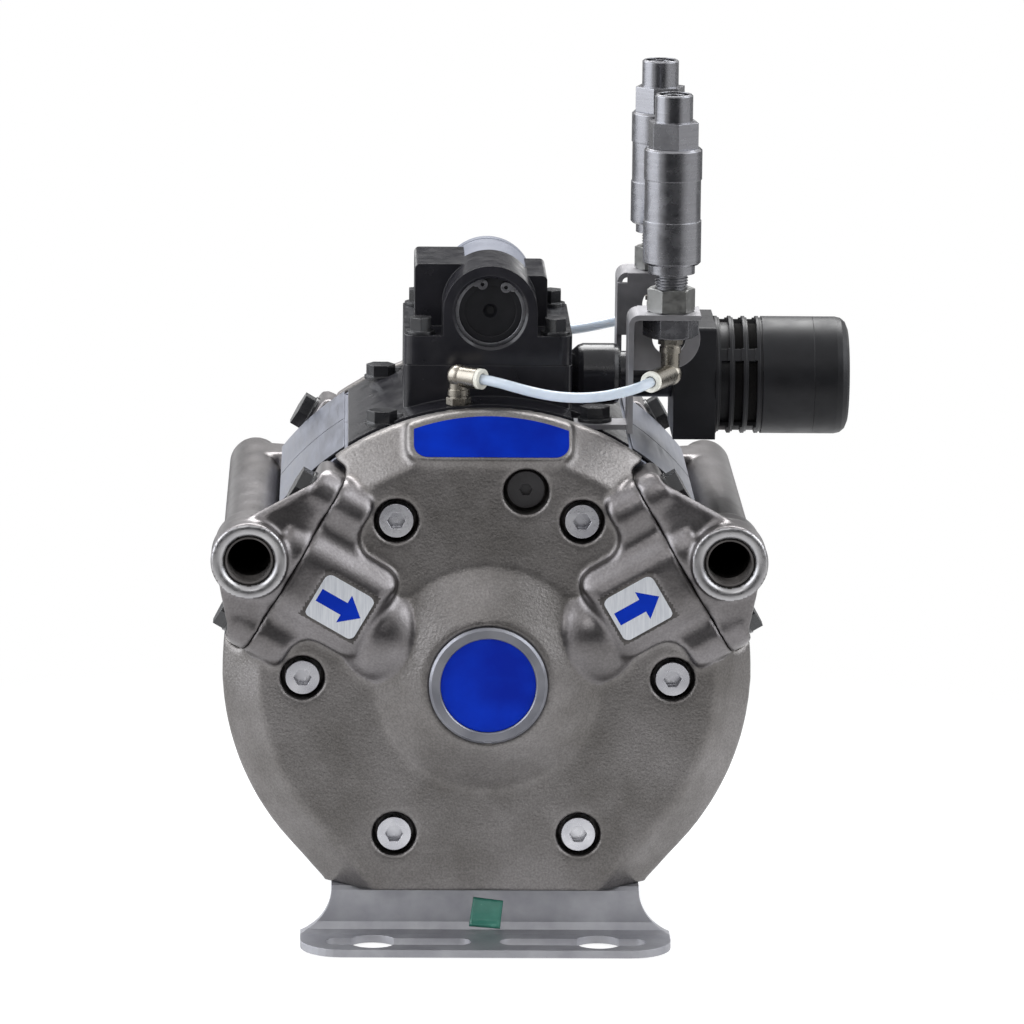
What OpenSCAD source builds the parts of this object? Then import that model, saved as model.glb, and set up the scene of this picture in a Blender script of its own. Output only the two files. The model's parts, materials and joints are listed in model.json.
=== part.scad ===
// Air-operated double diaphragm pump, three to one ratio, with two signal cylinders
// Origin: middle of the foot bolt pattern on the floor. +X is the outlet side, -Y the front.

/* [Pump body] */
// Height of the pump axis above the floor
axis_z = 105; // [96:1:130]
// Outside radius of the covers and air housings
body_r = 102; // [100:0.5:106]
// Depth of one air housing
housing_d = 59; // [56:0.5:66]
// Thickness of the plate between air housing and cover
mid_plate_t = 3; // [2:0.5:5]
// Thickness of a fluid cover from its joint to its face
cover_t = 22; // [21:0.5:28]
// Straight edge of a fluid cover before its bevel
rim_t = 6; // [4:0.5:9]
// Width of the bevel seen from the front
bevel_w = 14.5; // [11:0.5:15]
// Distance from the axis down to the flat cut bottom
flat_drop = 84; // [80:0.5:88]
// Half width of the flat cut bottom
flat_half_w = 62; // [59:0.5:66]

/* [Hub] */
// Radius of the raised hub where it meets the cover face
hub_base_r = 44; // [42:0.5:48]
// Radius of the flat top of the hub
hub_top_r = 24.5; // [23.5:0.5:28]
// Height of the hub above the cover face
hub_h = 11; // [10:0.5:14]
// Outside radius of the hub ring
hub_ring_r = 22.7; // [21:0.1:23]
// Radius of the disc inside the hub ring
hub_disc_r = 18.2; // [15:0.1:19]

/* [Cover screws] */
// Radius of the screw circle
screw_circle_r = 71; // [70:0.5:73]
// Screw thread diameter
screw_d = 8; // [6:0.5:8]
// Screw head diameter
screw_head_d = 13; // [12:0.5:14]
// Screw head height
screw_head_h = 8; // [6:0.5:9]
// Counterbore diameter
counterbore_d = 17; // [15.5:0.5:18]
// Length of the screw under its head
screw_len = 40; // [34:1:46]

/* [Check valve housings] */
// Tilt of the check valve axes above level
check_tilt = 30; // [28:0.5:32]
// Distance from the pump axis to the manifold joint
seam_n = 86.5; // [85.5:0.5:88]
// Distance of the check valve axes in front of the cover joint
check_front = 16; // [15.5:0.25:17]
// Offset of the check valve axis along the joint
check_t = -2; // [-3:0.5:0]
// Half width of the check valve barrel
barrel_half_w = 19; // [17:0.5:19.5]
// Distance from the pump axis to the inner end of the barrel
barrel_end_n = 48; // [45:0.5:50]
// Height of the barrel face above the check valve axis
barrel_front = 18; // [16.5:0.5:19]
// Height of the bolt lobes above the check valve axis
flange_front = 13; // [12:0.5:15.5]
// Half length of the manifold flange
flange_half_l = 39; // [37:0.5:40]
// Thickness of the manifold flange
flange_t = 9.5; // [8:0.5:12]
// Thickness of the matching ear on the cover
ear_t = 14.5; // [10:0.5:16]
// Distance between the two bolts of a flange
flange_bolt_gap = 56; // [54:0.5:58]
// Radius of the rounded passage dome
dome_r = 21.5; // [20:0.5:23]

/* [Manifolds] */
// Distance of the manifold tube from the pump axis
port_n = 103.5; // [103:0.25:106]
// Offset of the manifold tube along the joint
port_t = -3.5; // [-4:0.25:-3]
// Outside radius of the manifold tube
tube_r = 10.6; // [9.5:0.1:10.9]
// Radius of the bore in the manifold tube
tube_bore_r = 7.65; // [6.5:0.05:8]
// Outside radius of the port boss
port_boss_r = 14.65; // [13.5:0.1:15]
// Radius of the threaded part of a port
port_thread_r = 9.2; // [8.5:0.1:10]
// Depth of the threaded part of a port
port_thread_l = 16; // [12:0.5:20]
// Reach of the port face in front of the cover face
port_reach = 16; // [13:0.5:20]

/* [Check valves] */
// Radius of a check ball
ball_r = 7; // [6.5:0.1:7.4]
// Radius of the hole in a check seat
seat_bore_r = 5.5; // [4.5:0.1:5.8]
// Thickness of a check seat
seat_t = 4; // [3:0.5:5]
// Outside radius of a check cartridge
cage_r = 12; // [11:0.5:13]
// Length of a check cartridge
cage_l = 30; // [28:0.5:32]
// Travel of a check ball
ball_travel = 3; // [2:0.25:3.5]

/* [Diaphragms] */
// Radius of the air chamber
air_r = 60; // [58:0.5:61]
// Width of the clamped rim of the air diaphragm
air_clamp_w = 5.5; // [4.5:0.25:6]
// Thickness of the air diaphragm
air_diaphragm_t = 3; // [2:0.5:4]
// Radius of the fluid chamber
fluid_r = 36; // [34:0.5:37]
// Width of the clamped rim of the fluid diaphragm
fluid_clamp_w = 8; // [6:0.5:9]
// Thickness of the fluid diaphragm
fluid_diaphragm_t = 2; // [1.5:0.25:3]
// Stroke of the shaft to each side
stroke = 8; // [5:0.5:8]

/* [Shaft and plates] */
// Radius of the shaft
shaft_r = 10; // [8:0.5:11]
// Radius of the threaded ends of the shaft
stud_r = 6; // [5:0.5:7]
// Half thickness of the wall between the air chambers
wall_half_t = 16; // [12:0.5:16.5]
// Radius of the air plates
air_plate_r = 49; // [44:0.5:51]
// Thickness of the inner air plate
inner_plate_t = 8; // [6:0.5:9]
// Thickness of the outer air plate
outer_plate_t = 7; // [5:0.5:8]
// Radius of the fluid plate
fluid_plate_r = 23; // [20:0.5:24]
// Thickness of the fluid plate
fluid_plate_t = 5; // [4:0.5:6]
// Outside radius of the shaft bush
bush_r = 13; // [12.5:0.25:15]
// Radius of a pilot pin
pin_r = 3; // [2:0.25:4]
// Travel of a pilot pin
pin_travel = 2.2; // [1:0.1:2.4]
// Distance of the pilot pins from the pump axis
pin_offset = 26; // [22:0.5:32]

/* [Air manifold] */
// Half width of the saddle
saddle_half_w = 54; // [50:0.5:55]
// Gap around the saddle
saddle_gap = 1.5; // [0.5:0.25:2]
// Depth of the saddle floor below the top of the housings
saddle_drop = 18; // [17:0.5:20]
// Width of the valve block
base_w = 65; // [62:0.5:68]
// Length of the valve block
base_l = 79; // [76:0.5:84]
// Height of the valve block above the top of the housings
base_h = 12; // [10:0.5:16]
// Sideways place of the saddle bolts
saddle_bolt_x = 41; // [39:0.5:43]
// Distance of the saddle bolts from the ends of the housings
saddle_bolt_in = 9; // [8:0.25:10.5]
// Radius of the exhaust spout
spout_r = 12; // [10:0.5:13]
// Radius of the pipe from the spout to the muffler adapter
pipe_r = 9; // [8:0.25:9.75]
// Radius of the bore in the pipe
spout_bore_r = 6.5; // [5:0.5:7]
// Height of the exhaust axis above the top of the housings
spout_h = 2; // [0:0.5:5]

/* [Air valve] */
// Height of the valve flange
valve_flange_h = 11.5; // [9:0.5:13]
// Height of the spool axis above the valve block
valve_axis_h = 20.6; // [19.5:0.1:22]
// Outside radius of the valve barrel
valve_barrel_r = 18.3; // [17:0.1:19]
// Length of the barrel
valve_barrel_l = 40; // [36:0.5:44]
// Radius of the mouth of the barrel
valve_mouth_r = 13.5; // [12.5:0.1:14.5]
// Radius of the spool bore
spool_bore_r = 10.5; // [9:0.1:11.5]
// Travel of the spool
spool_travel = 6; // [4:0.5:6]
// Outside radius of the sleeve behind the barrel
sleeve_r = 18; // [16:0.1:18.2]
// Height of the left valve block above the valve base
left_block_h = 36; // [30:0.5:38]
// Height of the right valve block above the valve base
right_block_h = 31.5; // [26:0.5:34]
// Length of the two valve blocks
valve_block_l = 42; // [40:0.5:46]
// Distance of the valve bolts from the edges of the valve block
valve_bolt_in = 6.4; // [6:0.1:7]
// Radius of the air inlet thread
air_port_r = 5.7; // [4.5:0.1:6]
// Depth of the air inlet thread
air_port_l = 14; // [10:0.5:18]

/* [Muffler] */
// Distance of the muffler adapter from the pump axis
adapter_x = 72.7; // [70:0.5:78]
// Thickness of the muffler adapter
adapter_t = 16.5; // [14:0.5:20]
// Side of the square muffler adapter
adapter_w = 44.4; // [42:0.2:50]
// Radius of the muffler
muffler_r = 23; // [20:0.1:24]
// Length of the slotted muffler body
muffler_l = 38.6; // [36:0.2:50]
// Length of the muffler cap
muffler_cap_l = 13.9; // [10:0.1:18]
// Wall of the muffler
muffler_wall = 2.5; // [2:0.25:4]
// Width of a muffler slot
slot_w = 3.4; // [2:0.1:4]
// Distance between muffler slots
slot_pitch = 5.4; // [5:0.1:6]

/* [Brackets and signal cylinders] */
// Thickness of the bracket sheet
sheet_t = 2; // [1.5:0.25:2.5]
// Height of the bracket above its bolt
bracket_h = 46; // [44:0.5:56]
// Sideways place of the signal cylinders
signal_x = 69.5; // [68:0.25:71]
// Distance of the signal cylinders outside the saddle bolts
signal_out = 6; // [5:0.25:8]
// Outside radius of a signal cylinder
signal_r = 11.15; // [10:0.05:12]
// Length of a signal cylinder body
signal_l = 44.8; // [38:0.2:60]
// Radius of the thread under a signal cylinder
signal_thread_r = 5.75; // [5:0.05:5.9]
// Radius of the nozzle on a signal cylinder
nozzle_r = 7.3; // [6.8:0.1:8.5]
// Length of the nozzle
nozzle_l = 10.6; // [8:0.2:16]
// How much lower the rear bracket ends than the front one
rear_drop = 1.8; // [0:0.1:2.5]
// Radius of the nozzle mouth
nozzle_bore_r = 5.9; // [5.2:0.1:6.2]

/* [Feet] */
// Thickness of the foot sheet
foot_t = 3; // [2:0.25:4]
// Half width of a foot at its flange
foot_half_w = 71.5; // [70:0.5:76]
// Half width of a foot at its top
foot_top_half_w = 59.5; // [56:0.5:60]
// Distance of the foot web behind the face of the cover
foot_set_back = 7; // [4:0.5:10]
// Reach of a foot in front of its web
foot_reach = 27.5; // [25:0.5:33]
// Sideways place of the foot holes
foot_hole_x = 43.5; // [42:0.5:45]
// Distance of the foot holes in front of the foot web
foot_hole_out = 15; // [14:0.25:16]
// Radius of the large foot holes
foot_hole_r = 9.4; // [8:0.1:10]
// Width of the foot slots
foot_slot_w = 9.5; // [6:0.1:11]

/* [Tubing] */
// Outside radius of the signal tube
hose_r = 2; // [1.75:0.05:2.05]

/* [Hidden] */
$fn = 96;
eps = 0.05;

// Clearances: face to face, running fit, and between curved faces that move past each other
fit = 0.05;
seat_gap = 0.3;
thread_gap = 0.1;

// Distances in front of the middle seam
joint_d = housing_d + mid_plate_t;
face_d = joint_d + cover_t;
hub_d = face_d + hub_h;
check_d = joint_d + check_front;
face_r = body_r - bevel_w;
corner_inset = 0.1;
rim_d = joint_d + rim_t;
port_face_d = face_d + port_reach;
saddle_floor = body_r - saddle_drop;
saddle_bolt_y = housing_d - saddle_bolt_in;
signal_y = saddle_bolt_y + signal_out;
foot_web_y = face_d - foot_set_back;
foot_edge_y = foot_web_y + foot_reach;
foot_hole_y = foot_web_y + foot_hole_out;
foot_screw_x = 30;
slot_in = foot_hole_x - foot_slot_w / 2 - 5.5;
slot_out = 13.5;
foot_screw_d = joint_d + 4;

// Stack on the shaft, from the middle outwards
inner_plate_d = wall_half_t + stroke + 3.5;
diaphragm_d = inner_plate_d + inner_plate_t;
outer_plate_d = diaphragm_d + air_diaphragm_t;
pusher_d = outer_plate_d + outer_plate_t;
fluid_plate_d = joint_d + fluid_diaphragm_t;
plate_nut_d = fluid_plate_d + fluid_plate_t;
plate_nut_r = 10;
plate_nut_t = 8;
pusher_r = fluid_plate_r;
shaft_end_d = plate_nut_d + plate_nut_t - 2;
clamp_r = air_r + air_clamp_w;
fluid_clamp_r = fluid_r + fluid_clamp_w;
chamber_d = plate_nut_d + stroke + 0.8;
nut_well_r = plate_nut_r + 3;
nut_well_d = plate_nut_d + plate_nut_t + stroke + 1;
seal_t = 3;
pin_tip_d = inner_plate_d - stroke - seat_gap;
pin_l = 12;

// Heights
top_z = axis_z + body_r;
saddle_z = axis_z + saddle_floor;
seam_z = top_z + base_h;
valve_z = seam_z + valve_axis_h;
spout_z = top_z + spout_h;
spot_z = axis_z + sqrt(body_r * body_r - saddle_bolt_x * saddle_bolt_x) - 0.8;
bracket_z = spot_z + bracket_h;
foot_top_z = axis_z - flat_drop;

// Places in the valve
valve_x = 0.7;
valve_bolt_x = base_w / 2 - valve_bolt_in;
valve_bolt_y = base_l / 2 - valve_bolt_in;
block_x0 = -28.3;
block_x1 = 23.2;
block_y0 = -17;
air_port_y = -8;
exhaust_x = 10;
sleeve_y = valve_barrel_l - base_l / 2 + 0.3;
sleeve_end_t = 9.5;
front_cap_l = 9.8;
spool_rear_gap = 0.5;
spool_front_gap = 1.2;
spool_l = base_l - front_cap_l - sleeve_end_t - spool_rear_gap - spool_front_gap - spool_travel;

// Cover details
counterbore_floor_d = face_d - screw_head_h - 1;
label_tilt = 44;
label_drop = 8.6;
label_back = 5.4;
label_half_w = 32;
label_low = 10.7;
label_high = 14;
label_lip = 1.6;
label_left_lip = 2.9;
label_recess = 0.8;
arrow_n = 64.5;
arrow_half_n = 10.8;
arrow_half_t = 9.4;
arrow_recess = 1.6;
arrow_t = 0.6;
vent_x = 14;
vent_y = 73;
vent_r = 8.75;
vent_depth = 8;
waist_round = 9;
valley_round = 8;
barrel_round = 13;
barrel_mid_t = -0.5;
lobe_r = 10.5;
dome_n = 42.5;
dome_t = -6.5;
flange_mid_t = 1;

// Springs, screws and fittings
spring_wire_r = 0.5;
spring_turns = 5;
spring_r = 4.6;
bolt_shank_r = 3.9;
small_shank_r = 2.4;
saddle_shank_r = 2.9;
m8_head_r = 7.5;
wing_d = check_d + m8_head_r + 0.6;
m6_head_r = 5.8;
m5_head_r = 4.6;
washer_t = 1.2;
elbow_leg_r = 3.6;
elbow_arm_r = 4.1;
elbow_hex_r = 4.8;
collar_r = 4;
collar_t = 1.8;
manifold_elbow = [-11.6, housing_d - 6];
manifold_elbow_turn = 37;
manifold_elbow_h = 11;
manifold_elbow_arm = 9.5;
signal_elbow_turn = 65;
signal_elbow_h = 14.5;
signal_elbow_arm = 18;
locknut_t = 9.2;
locknut_r = 9.3;
lower_hex_t = 8;
lower_hex_r = 10.8;
hex_turn = 6;
nozzle_hex_r = 10.1;
nozzle_hex_t = 10;
neck_t = 3.6;

// Route of the front signal tube from the valve block to the signal cylinder, at the sizes above.
// The fourth number is how far a point goes along with the signal elbow.
tube_points = [
  [-6.6, -56.77, 217.3, 0], [-2.6, -59.78, 217.3, 0], [3, -63.8, 216.9, 0], [11, -68.4, 215.4, 0.2],
  [19, -72.2, 214, 0.3], [27, -75.5, 213.4, 0.4], [35, -78.4, 213.6, 0.6], [43, -81, 214.8, 0.8],
  [49.5, -82.2, 216.4, 1], [55, -81.4, 217.8, 1], [58.5, -78.9, 218.7, 1], [60.3, -75.74, 219.1, 1],
  [61.9, -72.3, 219.1, 1], [64, -67.8, 219.1, 1]];
tube_start = [manifold_elbow[0] + 11.6, 53 - manifold_elbow[1], top_z + manifold_elbow_h - 218];

function tube_end(drop) = [signal_x - 69.5, 56 - signal_y, bracket_z - drop - sheet_t - lower_hex_t
  - signal_elbow_h - 219.1];
function route(drop) = [for (p = tube_points) [p[0], p[1], p[2]] + (1 - p[3]) * tube_start
  + p[3] * tube_end(drop)];

// Frames
// Local z runs towards the front from the middle seam, x to the right and y up from the pump axis
module front_frame() translate([0, 0, axis_z]) rotate([90, 0, 0]) children();

module rear_copy() mirror([0, 1, 0]) children();

module both_ends() {
  children();
  rear_copy() children();
}

// Local x runs out of the pump along a check valve, y along its joint, z towards the front
module check_frame(side) mirror([side < 0 ? 1 : 0, 0, 0]) rotate([0, 0, check_tilt]) children();

module both_checks() for (side = [-1, 1]) check_frame(side) children();

module along_n(n0, n1) translate([n0, 0, 0]) rotate([90, 0, 90]) linear_extrude(n1 - n0) children();

module along_t(t0, t1) translate([0, t1, 0]) rotate([90, 0, 0]) linear_extrude(t1 - t0) children();

module along_d(d0, d1) translate([0, 0, d0]) linear_extrude(d1 - d0) children();

module rod_n(t, d, r, n0, n1) translate([n0, t, d]) rotate([0, 90, 0]) cylinder(r = r, h = n1 - n0);

module rod_d(x, y, r, d0, d1) translate([x, y, d0]) cylinder(r = r, h = d1 - d0);

module round_box(x0, y0, x1, y1, r) translate([x0 + r, y0 + r])
  offset(r = r, $fn = 32) square([x1 - x0 - 2 * r, y1 - y0 - 2 * r]);

module screw_places() for (k = [0:5]) rotate([0, 0, 60 * k]) translate([screw_circle_r, 0, 0]) children();

// Sweeps
function unit(v) = v / norm(v);
function tangent(p, i) = unit(p[min(i + 1, len(p) - 1)] - p[max(i - 1, 0)]);

module sweep(path, r, sides) {
  last = len(path) - 1;
  rings = [for (i = [0:last])
    let (t = tangent(path, i), s = unit(cross([0, 0, 1], t)), u = cross(t, s))
      for (k = [0:sides - 1]) path[i] + r * (cos(360 * k / sides) * s + sin(360 * k / sides) * u)];
  walls = [for (i = [0:last - 1], k = [0:sides - 1])
    let (j = (k + 1) % sides)
      [i * sides + k, (i + 1) * sides + k, (i + 1) * sides + j, i * sides + j]];
  start = [for (k = [0:sides - 1]) k];
  finish = [for (k = [0:sides - 1]) last * sides + sides - 1 - k];
  polyhedron(points = rings, faces = concat(walls, [start, finish]), convexity = 6);
}

// Fluid covers
// Outline of the check valve housing on the cover, seen from the front
module housing_outline() {
  offset(r = -waist_round, $fn = 32) offset(r = waist_round, $fn = 32) {
    round_box(barrel_end_n, barrel_mid_t - barrel_half_w, seam_n + 20, barrel_mid_t + barrel_half_w, 7);
    round_box(seam_n - ear_t, flange_mid_t - flange_half_l, seam_n + 20, flange_mid_t + flange_half_l, 5);
  }
}

// Cross section of housing and flange at their joint: a barrel between two bolt lobes
module seam_profile(low_d) {
  lobe_d = check_d + flange_front - lobe_r;
  offset(r = -valley_round, $fn = 32) offset(r = valley_round, $fn = 32) {
    round_box(barrel_mid_t - barrel_half_w, low_d, barrel_mid_t + barrel_half_w,
              check_d + barrel_front, barrel_round);
    for (side = [-1, 1]) translate([flange_mid_t + side * (flange_half_l - lobe_r), lobe_d])
      circle(r = lobe_r, $fn = 48);
    translate([flange_mid_t - flange_half_l, low_d]) square([2 * flange_half_l, lobe_d - low_d]);
  }
}

module check_housing() {
  intersection() {
    along_d(rim_d, check_d + barrel_front) housing_outline();
    along_n(barrel_end_n - 1, seam_n) seam_profile(joint_d);
    along_t(-flange_half_l - 5, flange_half_l + 5)
      round_box(barrel_end_n, 0, seam_n + 30, check_d + barrel_front, 9);
  }
  intersection() {
    translate([dome_n, dome_t, check_d + barrel_front - 3 - dome_r]) sphere(r = dome_r);
    translate([0, -50, joint_d + 4]) cube([seam_n - 10, 100, 60]);
  }
}

// Corner that carries the flat bottom out to the foot: its outer edge leaves the round of radius r
// almost along the tangent, from a little inside it
corner_a = atan2(flat_drop, flat_half_w)
  - acos(body_r / sqrt(flat_half_w * flat_half_w + flat_drop * flat_drop));

module corner_outline(r) polygon([
  [r * cos(corner_a), -r * sin(corner_a)], [(r - flat_drop * sin(corner_a)) / cos(corner_a), -flat_drop],
  [flat_half_w / 3, -flat_drop]]);

module foot_corner() hull() {
  along_d(joint_d, rim_d) corner_outline(body_r - corner_inset);
  along_d(face_d - 0.5, face_d) corner_outline(face_r - corner_inset);
}

module cover_disc() {
  intersection() {
    rotate_extrude() polygon([
      [0, joint_d], [body_r, joint_d], [body_r, rim_d], [face_r, face_d], [hub_base_r, face_d],
      [hub_top_r, hub_d], [0, hub_d]]);
    translate([-body_r - 5, -flat_drop, 0]) cube([2 * body_r + 10, flat_drop + body_r + 5, hub_d + 5]);
  }
  foot_corner();
  mirror([1, 0, 0]) foot_corner();
}

// Places its children on the sloping label seat, centred, with local z out of the seat
module label_frame() translate([0, body_r - label_drop, face_d - label_back])
  rotate([-label_tilt, 0, 0]) children();

module label_slab(x0, x1, low, z0, z1, top_r, corner_r) {
  intersection() {
    label_frame() along_d(z0, z1) round_box(x0, -low, x1, label_high, corner_r);
    rod_d(0, 0, top_r, 0, hub_d);
  }
}

module cover_cavity() {
  rotate_extrude() polygon([
    [0, joint_d - 1], [fluid_clamp_r + fit, joint_d - 1], [fluid_clamp_r + fit, fluid_plate_d],
    [fluid_r, fluid_plate_d], [fluid_r, chamber_d - 9], [fluid_plate_r + 1, chamber_d],
    [nut_well_r, chamber_d], [nut_well_r, nut_well_d], [0, nut_well_d]]);
}

module check_cavity() {
  rod_n(check_t, check_d, cage_r + fit, seam_n - cage_l, seam_n + 1);
  rod_n(check_t, check_d, seat_bore_r, fluid_r - 12, seam_n - cage_l + 1);
  translate([fluid_r - 9, check_t, check_d]) sphere(r = seat_bore_r + 1);
}

module fluid_cover() front_frame() difference() {
  union() {
    cover_disc();
    label_slab(-label_half_w, label_half_w, label_low, -9, 0, body_r + 0.4, 7);
    both_checks() check_housing();
  }
  cover_cavity();
  both_checks() {
    translate([seam_n, -flange_half_l - 0.8, joint_d - 1]) cube([60, 2 * flange_half_l + 3.5, 60]);
    check_cavity();
    for (t = [-1, 1])
      rod_n(t * flange_bolt_gap / 2, check_d, bolt_shank_r + thread_gap, seam_n - 16.4, seam_n + 1);
    along_d(check_d + barrel_front - arrow_recess, check_d + barrel_front + 1)
      round_box(arrow_n - arrow_half_n - fit, check_t - arrow_half_t - fit,
                arrow_n + arrow_half_n + fit, check_t + arrow_half_t + fit, 2.5);
  }
  label_slab(label_left_lip - label_half_w, label_half_w - label_lip, label_low - label_lip,
             -label_recess, 5, body_r - 1.7, 5.5);
  screw_places() {
    rod_d(0, 0, screw_d / 2 + seat_gap, joint_d - 1, face_d);
    rod_d(0, 0, counterbore_d / 2, counterbore_floor_d, hub_d);
  }
  rod_d(vent_x, vent_y, vent_r, face_d - vent_depth, hub_d);
  rod_d(0, 0, hub_ring_r + fit, hub_d - 2, hub_d + 1);
  for (x = [-1, 1]) translate([x * foot_screw_x, -flat_drop - 1, foot_screw_d]) rotate([-90, 0, 0])
    cylinder(r = saddle_shank_r + thread_gap, h = 13);
}

module front_fluid_cover() color("#8f8c88") fluid_cover();

module rear_fluid_cover() color("#8f8c88") rear_copy() fluid_cover();

// Air housings
// Flat on the outside that clears the manifold tube
module tube_flat(side) {
  tube_x = port_n * cos(check_tilt) - port_t * sin(check_tilt);
  tube_y = port_n * sin(check_tilt) + port_t * cos(check_tilt);
  cut_x = tube_x - tube_r - 0.4;
  mirror([side < 0 ? 1 : 0, 0, 0]) translate([cut_x, tube_y - 22, -1]) cube([40, 60, joint_d + 2]);
}

module air_housing() front_frame() difference() {
  union() {
    rotate_extrude() polygon([
      [bush_r, 0], [body_r - 0.6, 0], [body_r, 0.6], [body_r, housing_d - 0.6],
      [body_r - 0.6, housing_d], [clamp_r + fit, housing_d], [clamp_r + fit, diaphragm_d],
      [air_r, diaphragm_d], [air_r, wall_half_t], [bush_r, wall_half_t]]);
    for (side = [0, 1]) mirror([side, 0, 0]) along_d(0.3, housing_d - 0.3) corner_outline(body_r);
  }
  translate([-body_r - 5, -body_r - 20, -1]) cube([2 * body_r + 10, 20 + body_r - flat_drop, joint_d]);
  for (side = [-1, 1]) tube_flat(side);
  translate([-saddle_half_w - saddle_gap, saddle_floor, -1])
    cube([2 * (saddle_half_w + saddle_gap), body_r, housing_d + 2]);
  screw_places() rod_d(0, 0, screw_d / 2, housing_d - screw_len, housing_d + 1);
  for (x = [-1, 1]) translate([x * saddle_bolt_x, saddle_floor + 1, saddle_bolt_y]) rotate([90, 0, 0])
    cylinder(r = saddle_shank_r + thread_gap, h = 13);
  translate([0, saddle_floor + 1, inner_plate_d]) rotate([90, 0, 0])
    cylinder(r = 4, h = saddle_floor - air_r + 4);
  rod_d(0, pin_offset, pin_r + fit, pin_tip_d - pin_l - pin_travel - 0.5, wall_half_t + 1);
}

module front_air_housing() color("#b3b7c4") air_housing();

module rear_air_housing() color("#b3b7c4") rear_copy() air_housing();

module intermediate_plates() color("#a9adb8") both_ends() front_frame() difference() {
  rod_d(0, 0, body_r - 1.5, housing_d, joint_d);
  rod_d(0, 0, fluid_r, housing_d - 1, joint_d + 1);
  screw_places() rod_d(0, 0, screw_d / 2 + seat_gap, housing_d - 1, joint_d + 1);
  for (side = [-1, 1]) tube_flat(side);
  translate([-body_r, -body_r - 20, housing_d - 1]) cube([2 * body_r, 20 + body_r - flat_drop, 6]);
}

module clamp_rings() color("#8d9096") both_ends() front_frame() rotate_extrude() polygon([
  [air_r + 0.2, outer_plate_d], [clamp_r - fit, outer_plate_d], [clamp_r - fit, housing_d],
  [air_r + 0.2, housing_d]]);

// Diaphragms, each with one rolled fold between its clamped rim and its plates
module fold_profile(r_in, r_out, d0, t, fold) polygon([
  [stud_r + fit, d0], [r_in, d0], [r_in + 1.5, d0 + fold], [r_out - 1.5, d0 + fold], [r_out, d0],
  [r_out + 0.2, d0], [r_out + 0.2, d0 + t], [r_out - 0.2, d0 + t], [r_out - 1.5, d0 + fold + t],
  [r_in + 1.5, d0 + fold + t], [r_in + 0.2, d0 + t], [stud_r + fit, d0 + t]]);

module air_diaphragm() front_frame() rotate_extrude() {
  fold_profile(air_plate_r + 1, air_r - 1, diaphragm_d, air_diaphragm_t, 3);
  translate([air_r - 1, diaphragm_d]) square([clamp_r - air_r + 1, air_diaphragm_t]);
}

module front_air_diaphragm() color("#2a2a2c") air_diaphragm();

module rear_air_diaphragm() color("#2a2a2c") rear_copy() air_diaphragm();

module fluid_diaphragm() front_frame() rotate_extrude() {
  fold_profile(fluid_plate_r + 1, fluid_r - 1, joint_d, fluid_diaphragm_t, 2);
  translate([fluid_r - 1, joint_d]) square([fluid_clamp_w + 1, fluid_diaphragm_t]);
}

module front_fluid_diaphragm() color("#e9e7df") fluid_diaphragm();

module rear_fluid_diaphragm() color("#e9e7df") rear_copy() fluid_diaphragm();

// Shaft and plates
module shaft() color("#c2c3c6") {
  front_frame() rod_d(0, 0, shaft_r, -inner_plate_d, inner_plate_d);
  both_ends() front_frame() {
    rod_d(0, 0, stud_r, inner_plate_d - 1, shaft_end_d - 1);
    translate([0, 0, shaft_end_d - 1]) cylinder(r1 = stud_r, r2 = stud_r - 1, h = 1);
  }
}

module air_plates() color("#9a9ca1") both_ends() front_frame() {
  rotate_extrude() polygon([
    [stud_r + fit, inner_plate_d], [air_plate_r - 12, inner_plate_d], [air_plate_r - 2, inner_plate_d + 3],
    [air_plate_r, inner_plate_d + 5], [air_plate_r, diaphragm_d], [stud_r + fit, diaphragm_d]]);
  rotate_extrude() polygon([
    [stud_r + fit, outer_plate_d], [air_plate_r, outer_plate_d], [air_plate_r, outer_plate_d + 2],
    [air_plate_r - 4, pusher_d - 1], [pusher_r + 3, pusher_d], [pusher_r, pusher_d + 3],
    [pusher_r, joint_d], [stud_r + fit, joint_d]]);
}

module fluid_plates() color("#b9babd") both_ends() front_frame() difference() {
  union() {
    rotate_extrude() polygon([
      [0, fluid_plate_d], [fluid_plate_r, fluid_plate_d], [fluid_plate_r, fluid_plate_d + 2],
      [fluid_plate_r - 4, plate_nut_d], [0, plate_nut_d]]);
    translate([0, 0, plate_nut_d - 1]) cylinder(r = plate_nut_r, h = plate_nut_t + 1, $fn = 6);
  }
  rod_d(0, 0, stud_r + fit, fluid_plate_d - 1, shaft_end_d + 0.5);
}

module shaft_bush() color("#b08d57") front_frame() difference() {
  rod_d(0, 0, bush_r - fit, seal_t - wall_half_t, wall_half_t - seal_t);
  rod_d(0, 0, shaft_r + fit, -wall_half_t, wall_half_t);
}

module shaft_seals() color("#1f1f21") both_ends() front_frame() difference() {
  rod_d(0, 0, bush_r - fit, wall_half_t - seal_t, wall_half_t);
  rod_d(0, 0, shaft_r + fit, wall_half_t - seal_t - 1, wall_half_t + 1);
}

module pilot_pin() front_frame() {
  rod_d(0, pin_offset, pin_r, pin_tip_d - pin_l, pin_tip_d - 1);
  translate([0, pin_offset, pin_tip_d - 1]) cylinder(r1 = pin_r, r2 = pin_r - 1, h = 1);
}

module front_pilot_pin() color("#c9cacc") pilot_pin();

module rear_pilot_pin() color("#c9cacc") rear_copy() pilot_pin();

// Air manifold: a saddle on the air housings, the block that carries the valve, and the exhaust spout
module bracket_pad() translate([saddle_bolt_x - 9, saddle_bolt_y - 10, spot_z - axis_z])
  cube([40, 20, 30]);

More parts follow.
